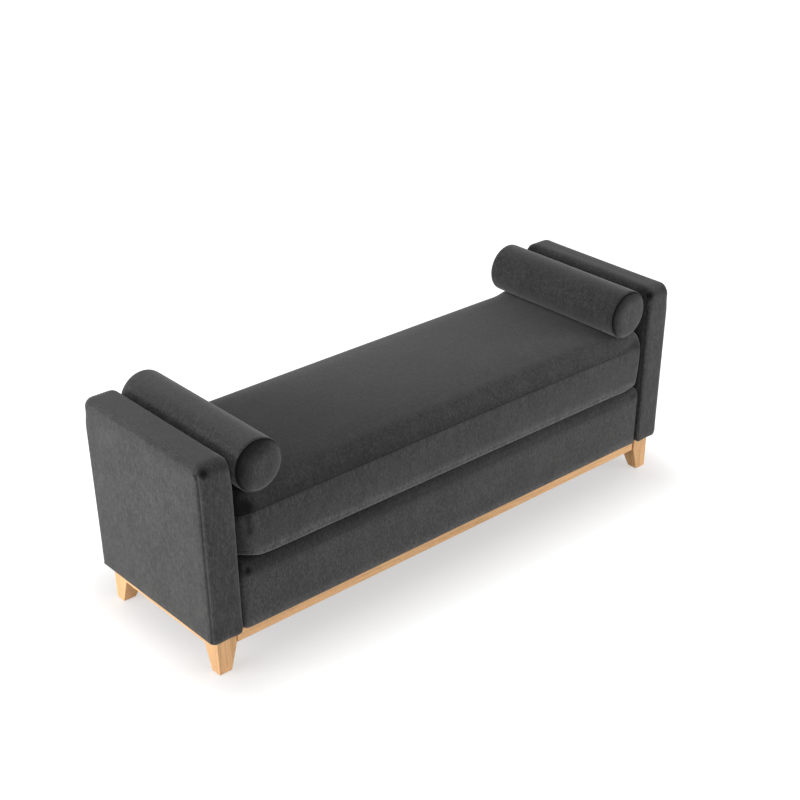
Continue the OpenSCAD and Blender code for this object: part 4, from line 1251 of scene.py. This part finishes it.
class BENCH_OT_arms(bpy.types.Operator):
    """Padded square arms with a boxing strip that is pulled round the corners"""

    bl_idname = "bench.arms"
    bl_label = "Arms"

    def execute(self, context):
        low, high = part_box("arm_right_cover")
        thick = (high.x - low.x) / 2
        middle = (low.x + high.x) / 2
        half = (high.y, (high.z - low.z + ARM_TUCK) / 2)
        mid_z = (high.z + low.z - ARM_TUCK) / 2
        form, start, length = arm_form(half, thick)
        rows = (even_rows(length, ARM_ENDS, 10), even_rows(length, ARM_ENDS_COARSE, 5))
        for side, sx in (("left", -1), ("right", 1)):

            def hold(p):
                p[:, 2] = np.clip(p[:, 2], -thick, thick + 0.002)
                p[:, 0] = np.clip(p[:, 0], -half[0] - 0.002, half[0] + 0.002)
                p[:, 1] = np.clip(p[:, 1], low.z - mid_z, half[1] + 0.002)
                above = p[:, 1] + mid_z - low.z
                front = half[0] - np.abs(p[:, 0])
                inward, outward = thick + p[:, 2], thick - p[:, 2]
                # The upright edges are tighter than the top ones, the outer ones most at the back
                upright = smooth((high.z - mid_z - 0.04 - p[:, 1]) / 0.05)
                on_inner = upright * (1 - smooth((inward - 0.03) / 0.02))
                on_outer = upright * (1 - smooth((outward - 0.03) / 0.02))
                keep = 0.5 + 0.25 * smooth(0.5 - sx * p[:, 0] / 0.1)
                front = front + on_inner * (tighter(front, 0.6, ARM_EDGE, 0.05) - front)
                front = front + on_outer * (tighter(front, keep, ARM_EDGE, 0.05) - front)
                p[:, 0] = np.sign(p[:, 0]) * (half[0] - front)
                p[:, 2] += upright * (tighter(inward, 0.6, ARM_EDGE, 0.05) - inward)
                p[:, 2] -= upright * (tighter(outward, keep, ARM_EDGE, 0.05) - outward)
                for inner, radius in ((True, ARM_LOW_EDGE), (False, ARM_LOW_OUTER)):
                    share = np.clip(1 - above / radius, 0, 1)
                    limit = thick - radius * (1 - np.sqrt(1 - share ** 2))
                    p[:, 2] = np.maximum(p[:, 2], -limit) if inner else np.minimum(p[:, 2], limit)
                return p

            def turn(p):
                return np.stack([sx * (middle + p[:, 2]), sx * p[:, 0], mid_z + p[:, 1]], -1)

            piece, seams, _ = sewn_piece(
                f"arm_{side}", form, start, (0.013, 0.016), rows, turn, sizes().arm_puff, hold)
            mesh = piece.data
            # The boxing puckers at its upper corners, most beside the panel on the left of each arm, with
            # painted shade in the dimples
            across = (middle - thick + 0.009, middle + thick - 0.022)
            strong, weak = across if sx > 0 else across[::-1]
            y, z = half[0] - 0.0075, high.z - 0.0165
            dimple(mesh, at_both(sx * strong, y, z), ARM_DIMPLE)
            dimple(mesh, at_both(sx * weak, y, z), ARM_DENT)
            dimple(mesh, at_both(sx * strong, y, z), ARM_FOLD, at_both(sx * weak, y, z))
            # The seams fade out along the top and at the lower edge
            spots = points_of(mesh)
            lines = []
            for k in seams:
                p = spots[k]
                upright = smooth((np.abs(p[:, 1]) - half[0] + start + 0.016) / 0.012)
                fade = np.where(p[:, 2] > high.z - 0.10, upright, 1.0)
                lines.append((k, fade * smooth((p[:, 2] - low.z - 0.001) / 0.008)))
            sew(piece, lines, 1.7, 1.2, 1.0)
            # A painted highlight along the top's inner edge lightens the shade in the gap by the bolster
            spots = points_of(mesh)
            inner = sx * spots[:, 0] - low.x
            painted_light = (1 - smooth((inner - 0.012) / 0.02)) * smooth((spots[:, 2] - high.z + 0.05) / 0.03)
            add_painted_shading(mesh, ARM_EDGE_HIGHLIGHT * painted_light * smooth((high.y - 0.030 - np.abs(spots[:, 1])) / 0.04))
            spots[:, 2] = np.maximum(spots[:, 2], low.z)
            set_points(mesh, spots)
            lay_shaded_velvets(mesh)
            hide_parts(f"arm_{side}_cover", f"arm_{side}_foam")
            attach(piece, "bench")
        return {"FINISHED"}


def seat_form(low, high):
    """The seat base's form, the start of its panels and its strip's length."""
    half = (high.x, high.y)
    eighth = math.pi / 4
    start = SEAT_TOP_EDGE * (1 - math.cos(eighth))
    form_low = low.z - SEAT_TUCK
    bow = SEAT_TOP_EDGE * eighth
    straight = high.z - form_low - SEAT_TOP_EDGE - SEAT_LOW_EDGE
    low_bow = SEAT_LOW_EDGE * math.pi / 2

    def top(c):
        turn = eighth * (1 + np.clip((c - start) / (SEAT_TOP_EDGE - start), 0, 1))
        inset, drop = edge_table(SEAT_TOP_EDGE, turn)
        inset = np.where(c < SEAT_TOP_EDGE, inset, c)
        corner = np.maximum(SEAT_CORNER - inset, 0.001) * (1 - smooth((c - 0.02) / 0.03))
        return inset, high.z - drop, corner

    def strip(s):
        if s < bow:
            inset, drop = edge_table(SEAT_TOP_EDGE, eighth * (1 - s / bow))
            height = high.z - drop
        elif s < bow + straight:
            inset, height = 0.0, high.z - SEAT_TOP_EDGE - (s - bow)
        else:
            inset, drop = edge_table(SEAT_LOW_EDGE, np.pi / 2 * (s - bow - straight) / low_bow)
            height = form_low + drop
        return float(inset), float(height), max(SEAT_CORNER - float(inset), 0.001)

    def bottom(c):
        inset = np.where(c < 0.02, SEAT_LOW_EDGE + (c - start) * (0.02 - SEAT_LOW_EDGE) / (0.02 - start), c)
        height = np.where(c > TURN_IN, low.z + 0.0026, form_low)
        return inset, height, np.where(c < 0.02, 0.002, 0.0)

    def finish(kind, c, p):
        # The right-hand end is tighter and its upper corners sink; the left-hand end's lower corners rise
        right = smooth((p[..., 0] - half[0] + 0.06) / 0.03)
        qx, qy = half[0] - p[..., 0], half[1] - np.abs(p[..., 1])
        p[..., 0] -= right * (tighter(qx, 0.4, 0.014, 0.03) - qx)
        p[..., 1] -= np.sign(p[..., 1]) * right * (tighter(qy, 0.4, 0.014, 0.03) - qy)
        sink = np.exp(-(np.maximum(qx, 0) / 0.016) ** 2 - (qy / 0.03) ** 2)
        p[..., 2] -= 0.011 * sink * smooth((p[..., 2] - high.z + 0.06) / 0.04)
        rise = np.exp(-((half[0] + p[..., 0]) / 0.016) ** 2 - (qy / 0.02) ** 2)
        p[..., 2] += 0.010 * rise * smooth((low.z + 0.05 - p[..., 2]) / 0.03)
        return p

    return SewnForm(half, 0.09, top, strip, bottom, finish), start, bow + straight + low_bow


class BENCH_OT_seat_base(bpy.types.Operator):
    """Padded seat base between the arms, covered over its deck, front and back"""

    bl_idname = "bench.seat_base"
    bl_label = "Seat base"

    def execute(self, context):
        low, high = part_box("seat_base_cover")
        half = (high.x, high.y)
        form, start, length = seat_form(low, high)
        rows = (even_rows(length, SEAT_ENDS, 11), even_rows(length, SEAT_ENDS_COARSE, 9))

        def pin(p):
            return np.flatnonzero((p[:, 2] > high.z - 0.004) | (p[:, 2] < low.z + 0.01)
                                  | (np.abs(p[:, 0]) > half[0] - 0.004))

        def hold(p):
            p[:, 0] = np.clip(p[:, 0], -half[0], half[0])
            p[:, 1] = np.clip(p[:, 1], -half[1] - 0.003, half[1] + 0.003)
            p[:, 2] = np.clip(p[:, 2], low.z, high.z)
            return p

        piece, _, _ = sewn_piece(
            "seat_base", form, start, (0.013, 0.016), rows, as_it_is, sizes().arm_puff, hold, pin)
        mesh = piece.data
        x, y, z = half[0] - 0.025, half[1] - 0.003, high.z - 0.0215
        dimple(mesh, at_both(-x, y, z), SEAT_DIMPLE)
        dimple(mesh, at_both(x, y, z), SEAT_DENT)
        # Painted shadow under the cushion's edge, the whole seat base slightly lighter, and a painted
        # highlight along the lower rim
        p = points_of(mesh)
        closed, fall, depth, width = SEAT_TOP_SHADE
        under = 1 - smooth((high.z - p[:, 2] - depth) / width)
        add_painted_shading(mesh, (closed - fall * p[:, 0] / half[0]) * under - 0.1)
        add_painted_shading(mesh, rim_highlight(p, low.z, *SEAT_RIM_HIGHLIGHT))
        lay_shaded_velvets(mesh)
        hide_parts("seat_base_cover", "seat_base_foam", "deck_foam", "spring_felt")
        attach(piece, "bench")
        return {"FINISHED"}


class BENCH_OT_cushion_zip(bpy.types.Operator):
    """Zip in the back of the cushion: tape, chain and slider"""

    bl_idname = "bench.cushion_zip"
    bl_label = "Cushion zip"

    def execute(self, context):
        low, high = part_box("cushion_zip")
        z = (low.z + high.z) / 2
        back = high.y - ZIP_DEEP
        tape = ribbon("zip_tape", low.x, high.x, z - ZIP_TAPE, z + ZIP_TAPE, back, FINISHES["tape"])
        tooth = small_block("tooth", (0.0017, 0.0015, 0.0036), 0.0004)
        host = path_object([(low.x, back + 0.0007, z), (high.x, back + 0.0007, z)], closed=False)
        teeth = grown("zip_chain", host, TREES["row"], {
            "Pitch": 0.0014, "Shape": tooth, "Swing": (0.0, math.pi, 0.0), "Turn": (0.0, 0.0, 0.0),
            "Sway": 0.0, "Seed": 3, "Material": FINISHES["chain"]})
        bpy.data.objects.remove(tooth)
        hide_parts("cushion_zip")
        for piece in (tape, teeth):
            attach(piece, "seat_cushion")
        piece = slider_piece()
        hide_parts("zip_slider")
        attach(piece, "cushion_zip_slider")
        return {"FINISHED"}


def ribbon(name, x0, x1, z0, z1, y, material):
    """Flat tape with a little thickness, standing on edge."""
    outline = ((y - 0.0006, z0), (y - 0.0001, z0), (y, z0 + 0.0008), (y, z1 - 0.0008), (y - 0.0001, z1),
               (y - 0.0006, z1))
    work = bmesh.new()
    rows = [[work.verts.new((x, *place)) for place in outline] for x in np.linspace(x0, x1, 61)]
    for a, b in zip(rows, rows[1:]):
        for k in range(len(outline)):
            n = (k + 1) % len(outline)
            work.faces.new((a[k], a[n], b[n], b[k]))
    work.faces.new(rows[0][::-1])
    work.faces.new(rows[-1])
    bmesh.ops.recalc_face_normals(work, faces=work.faces)
    return from_work(work, name, material)


def small_block(name, size, ease):
    """Block with eased edges at the origin, of which a little more stands above than below."""
    work = bmesh.new()
    bmesh.ops.create_cube(work, size=1.0)
    bmesh.ops.scale(work, vec=size, verts=work.verts)
    bmesh.ops.translate(work, vec=(0, 0, size[2] * 0.22), verts=work.verts)
    bmesh.ops.bevel(work, geom=work.edges, offset=ease, segments=1, affect="EDGES", profile=0.5)
    return from_work(work, name)


def add_box(work, low, high, ease):
    """Adds a box with eased edges to a mesh in work."""
    made = bmesh.ops.create_cube(work, size=1.0)["verts"]
    size = [b - a for a, b in zip(low, high)]
    middle = [(a + b) / 2 for a, b in zip(low, high)]
    bmesh.ops.scale(work, vec=size, verts=made)
    bmesh.ops.translate(work, vec=middle, verts=made)
    edges = list({e for v in made for e in v.link_edges})
    bmesh.ops.bevel(work, geom=edges, offset=ease, segments=2, affect="EDGES", profile=0.5)


def slider_piece():
    """Slider with its two plates, bridge and a pull with a slot."""
    low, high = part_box("zip_slider")
    zip_low, zip_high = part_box("cushion_zip")
    top = high.z
    bottom = zip_low.z + zip_high.z - top
    x0, x1 = high.x - SLIDER_LONG, high.x
    face = high.y - SLIDER_PLATE
    y0 = zip_high.y - 0.00145
    middle = (x0 + x1) / 2
    left, right = middle - PULL_HALF, middle + PULL_HALF
    work = bmesh.new()
    # The plate and its two turned-in edges, then the pull's foot, two sides and head
    for start, end, ease in (
            ((x0, face - SLIDER_PLATE, bottom), (x1, face, top), 0.0005),
            ((x0, y0, top - SLIDER_PLATE), (x1, face - 0.0012, top), 0.0004),
            ((x0, y0, bottom), (x1, face - 0.0012, bottom + SLIDER_PLATE), 0.0004),
            ((left, face, low.z), (right, high.y, low.z + 0.005), 0.0005),
            ((left, face, low.z + 0.004), (left + SLIDER_PLATE, high.y, top - 0.003), 0.0004),
            ((right - SLIDER_PLATE, face, low.z + 0.004), (right, high.y, top - 0.003), 0.0004),
            ((left, face, top - 0.0046), (right, high.y, top - 0.001), 0.0005)):
        add_box(work, start, end, ease)
    return from_work(work, "slider", FINISHES["slider"])


class BENCH_OT_underside(bpy.types.Operator):
    """Dust cloth stapled on under the seat frame"""

    bl_idname = "bench.underside"
    bl_label = "Underside"

    def execute(self, context):
        low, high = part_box("dust_cloth")
        nx, ny = 130, 44
        gx, gy = np.meshgrid(np.linspace(low.x, high.x, nx), np.linspace(low.y, high.y, ny), indexing="ij")
        edge = np.minimum(np.minimum(gx - low.x, high.x - gx), np.minimum(gy - low.y, high.y - gy))
        drop = 0.0030 * smooth(edge / 0.12) * (0.8 + 0.2 * np.sin(gx * 9.0) * np.cos(gy * 13.0))
        ripple = 0.0004 * np.sin(gx * 150.0 + 3 * gy) * np.exp(-edge / 0.02)
        bottom = low.z - drop - ripple
        for a, b in (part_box("base_stretcher_left"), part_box("base_stretcher_right")):
            near = np.abs(gx - (a.x + b.x) / 2) - (b.x - a.x) / 2
            bottom = np.maximum(bottom, b.z + 0.0004 - 0.02 * np.maximum(near - 0.004, 0))
        thin = 0.0005
        points = np.concatenate([np.stack([gx, gy, z], -1).reshape(-1, 3) for z in (bottom, bottom + thin)])
        lower = np.arange(nx * ny).reshape(nx, ny)
        upper = lower + nx * ny
        i, j = border_of(nx, ny)
        ring_low, ring_high = lower[i, j], upper[i, j]
        faces = np.concatenate([
            turned_down(quads(lower)), quads(upper),
            np.stack([ring_low, np.roll(ring_low, -1), np.roll(ring_high, -1), ring_high], -1),
        ])
        cloth = new_piece("dust_sheet", points, faces, FINISHES["dust_cloth"], 40)
        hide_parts("dust_cloth")
        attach(cloth, "bench")
        x0, y0, x1, y1 = low.x + 0.008, low.y + 0.008, high.x - 0.008, high.y - 0.008
        host = path_object([(x, y, low.z - 0.0002) for x, y in ((x0, y0), (x1, y0), (x1, y1), (x0, y1))])
        staple = small_block("staple", (0.0100, 0.0008, 0.0006), 0.00015)
        staples = grown("staples", host, TREES["row"], {
            "Pitch": 0.042, "Shape": staple, "Sway": 0.25, "Seed": 11, "Turn": (0.0, 0.0, 0.6),
            "Swing": (0.0, 0.0, 0.0), "Material": FINISHES["steel"]})
        bpy.data.objects.remove(staple)
        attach(staples, "bench")
        return {"FINISHED"}


class BENCH_OT_held_inside(bpy.types.Operator):
    """Finishes of the frames, springs and fasteners that the covers hold"""

    bl_idname = "bench.held_inside"
    bl_label = "Pieces held inside"

    def execute(self, context):
        for finish, nodes in INSIDE.items():
            for node in nodes:
                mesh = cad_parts[node].data
                mesh.materials.clear()
                mesh.materials.append(FINISHES[finish])
        kept = sum(INSIDE.values(), [])
        left = [n for n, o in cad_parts.items() if not o.hide_render and n not in kept]
        if left:
            raise RuntimeError(f"nodes without a finish: {left}")
        return {"FINISHED"}


class BENCH_OT_studio(bpy.types.Operator):
    """Camera, pale floor and soft light"""

    bl_idname = "bench.studio"
    bl_label = "Studio"

    def execute(self, context):
        scene = context.scene
        light = scene.bench_studio
        scene.view_settings.view_transform = "Standard"
        make_camera(scene)
        make_world(scene, light)
        floor = new_piece("floor", [(-14, -14, 0), (14, -14, 0), (14, 14, 0), (-14, 14, 0)], [(0, 1, 2, 3)],
                          floor_finish(light))
        area_light("key_light", (-4.2, 0.9, 0.95), (0, 0, 0.3), (3.2, 1.9), light.key_power)
        area_light("fill_light", (3.2, -3.6, 1.0), (0.3, 0, 0.25), (3.2, 1.9), light.fill_power)
        return {"FINISHED"}


def make_camera(scene):
    data = bpy.data.cameras.new("camera")
    data.sensor_width = 36.0
    data.lens = LENS
    data.shift_x, data.shift_y = LENS_SHIFT
    data.clip_start = 0.1
    data.clip_end = 100.0
    camera = linked("camera", data)
    camera.location = CAMERA_PLACE
    aim = Matrix.Identity(3)
    for turn, axis in CAMERA_TURNS:
        aim = aim @ Matrix.Rotation(math.radians(turn), 3, axis)
    camera.rotation_euler = aim.to_euler()
    scene.camera = camera


def make_world(scene, light):
    """Soft light from all round, and white where the camera or a reflection looks past the floor."""
    world = bpy.data.worlds.new("studio")
    world.use_nodes = True
    tree = world.node_tree
    rays = wire(tree, "ShaderNodeLightPath").outputs
    seen = wire(tree, "ShaderNodeMath", {0: rays["Is Camera Ray"], 1: rays["Is Transmission Ray"]},
                operation="MAXIMUM").outputs[0]
    shown = wire(tree, "ShaderNodeMath", {0: seen, 1: rays["Is Glossy Ray"]}, operation="MAXIMUM").outputs[0]
    sky = wire(tree, "ShaderNodeTexCoord").outputs["Generated"]
    height = wire(tree, "ShaderNodeSeparateXYZ", {0: sky}).outputs["Z"]
    around = wire(tree, "ShaderNodeMapRange", {
        "Value": height, "To Min": light.ambient, "To Max": light.overhead}).outputs["Result"]
    strength = wire(tree, "ShaderNodeMapRange", {
        "Value": shown, "To Min": around, "To Max": 1.0}).outputs["Result"]
    background = tree.nodes["Background"]
    feed(tree, background.inputs["Strength"], strength)
    feed(tree, background.inputs["Color"], (1, 1, 1, 1))
    scene.world = world


def floor_finish(light):
    """Pale matt floor that glows white for the camera further out; near the bench its glow is less, a painted
    shadow.
    """
    f = Finish("floor")
    camera_ray = f.add("ShaderNodeLightPath").outputs["Is Camera Ray"]
    tone = f.add("ShaderNodeMapRange", {
        "Value": camera_ray, "To Min": 0.95, "To Max": 0.50}).outputs["Result"]
    # Painted shadow: the camera's glow is least close to the bench and full 0.265 m away from it
    away = f.add("ShaderNodeVectorMath", {0: f.coords}, operation="ABSOLUTE").outputs[0]
    for operation, value in (
            ("SUBTRACT", (0.78, 0.20, 0.0)), ("MAXIMUM", (0.0, 0.0, 0.0)), ("MULTIPLY", (1.0, 0.7, 1.0))):
        away = f.add("ShaderNodeVectorMath", {0: away, 1: value}, operation=operation).outputs[0]
    distance = f.add("ShaderNodeVectorMath", {0: away}, operation="LENGTH").outputs["Value"]
    far = f.add("ShaderNodeMapRange", {
        "Value": distance, "From Min": 0.0, "From Max": 0.265, "To Min": light.floor_glow, "To Max": 1.0,
    }, interpolation_type="SMOOTHSTEP").outputs["Result"]
    glow = f.add("ShaderNodeMath", {0: camera_ray, 1: far}, operation="MULTIPLY").outputs[0]
    return f.set(Base_Color=tone, Roughness=0.9, Specular_IOR_Level=0.0,
                 Emission_Color=(1, 1, 1, 1), Emission_Strength=glow)


def area_light(name, place, aim, size, power):
    data = bpy.data.lights.new(name, "AREA")
    data.shape = "RECTANGLE"
    data.size, data.size_y = size
    data.energy = power
    lamp = linked(name, data)
    lamp.location = place
    lamp.rotation_euler = (Vector(aim) - Vector(place)).to_track_quat("-Z", "Y").to_euler()


# Properties


def length(label, note, default, least, most):
    return bpy.props.FloatProperty(name=label, description=note, default=default, min=least, max=most,
                                   subtype="DISTANCE", unit="LENGTH")


def power(label, note, default):
    return bpy.props.FloatProperty(name=label, description=note, default=default, min=0.0, max=2000.0,
                                   subtype="POWER", unit="POWER")


def level(label, note, default, most):
    return bpy.props.FloatProperty(name=label, description=note, default=default, min=0.0, max=most)


def color(label, note, default):
    return bpy.props.FloatVectorProperty(name=label, description=note, default=default, min=0.0, max=1.0,
                                         subtype="COLOR", size=3)


class BenchSizes(bpy.types.PropertyGroup):
    """Sizes of the sewing and the edges."""

    seam_depth: length("Seam depth", "How far a seam is drawn in", 0.0022, 0.0, 0.006)
    seam_width: length("Seam width", "Reach of a seam's groove to each side", 0.0034, 0.001, 0.01)
    welt_radius: length("Welt radius", "Radius of the thin welt in the seams", 0.0010, 0.0002, 0.003)
    dimple_depth: length(
        "Dimple depth", "Depth of the dimples where a strip is pulled round a corner", 0.005, 0.0, 0.02)
    disc_dip: length("Disc dip", "Depth of the crease inside a bolster's rim", 0.0022, 0.0, 0.01)
    lip: length(
        "Lip", "How far the roll's fullest line lies under the cushion's lower seam", 0.007, 0.0, 0.0085)
    pressure: level("Pressure", "Pressure in the cloth simulation", 4.0, 20.0)
    cushion_puff: length(
        "Cushion puff", "Most that the simulation may move the cushion's cover", 0.002, 0.0001, 0.02)
    bolster_puff: length(
        "Bolster puff", "Most that the simulation may move a bolster's cover", 0.002, 0.0001, 0.01)
    arm_puff: length(
        "Arm puff", "Most that the simulation may move the arms' and seat base's covers",
        0.0008, 0.0001, 0.01)
    eased_edge: length("Eased edge", "Width of the eased edges of the oak rails", 0.0008, 0.0001, 0.003)


class BenchColors(bpy.types.PropertyGroup):
    """Colours of the main finishes."""

    velvet: color("Velvet", "Colour of the velvet's pile", (0.042, 0.042, 0.042))
    oak: color("Oak", "Colour of the oak between its darker grain", (0.87, 0.52, 0.262))


class BenchStudio(bpy.types.PropertyGroup):
    """Levels of the studio's light."""

    ambient: level("Ambient", "Strength of the light from the sides", 0.72, 2.0)
    overhead: level("Overhead", "Strength of the light from straight above", 0.14, 2.0)
    key_power: power("Key light", "Power of the light at the left and behind", 122.0)
    fill_power: power("Fill light", "Power of the light in front", 95.0)
    # Painted shadow: the floor's glow right by the bench, which rises to full further out
    floor_glow: level("Floor glow", "What the floor adds of its own for the camera", 0.52, 1.0)


class BENCH_PT_build(bpy.types.Panel):
    """Lists the bench's sizes, colours and steps"""

    bl_idname = "BENCH_PT_build"
    bl_label = "Upholstered bench"
    bl_space_type = "VIEW_3D"
    bl_region_type = "UI"
    bl_category = "Bench"

    def draw(self, context):
        scene = context.scene
        for group in (scene.bench_sizes, scene.bench_colors, scene.bench_studio):
            box = self.layout.box()
            for key in group.__annotations__:
                box.prop(group, key)
        for step in STEPS:
            self.layout.operator(step.bl_idname)


STEPS = (BENCH_OT_oak_base, BENCH_OT_seat_base, BENCH_OT_arms, BENCH_OT_seat_cushion, BENCH_OT_bolsters,
         BENCH_OT_cushion_zip, BENCH_OT_underside, BENCH_OT_held_inside, BENCH_OT_studio)
CLASSES = (BenchSizes, BenchColors, BenchStudio, *STEPS, BENCH_PT_build)
GROUPS = {"bench_sizes": BenchSizes, "bench_colors": BenchColors, "bench_studio": BenchStudio}


def register():
    for cls in CLASSES:
        bpy.utils.register_class(cls)
    for name, group in GROUPS.items():
        setattr(bpy.types.Scene, name, bpy.props.PointerProperty(type=group))


def unregister():
    for name in GROUPS:
        delattr(bpy.types.Scene, name)
    for cls in reversed(CLASSES):
        bpy.utils.unregister_class(cls)


def main():
    register()
    FINISHES.update(make_finishes(bpy.context.scene.bench_colors))
    TREES["welt"] = welt_tree()
    TREES["row"] = row_tree()
    for step in STEPS:
        group, name = step.bl_idname.split(".")
        getattr(getattr(bpy.ops, group), name)()


if __name__ == "__main__":
    main()
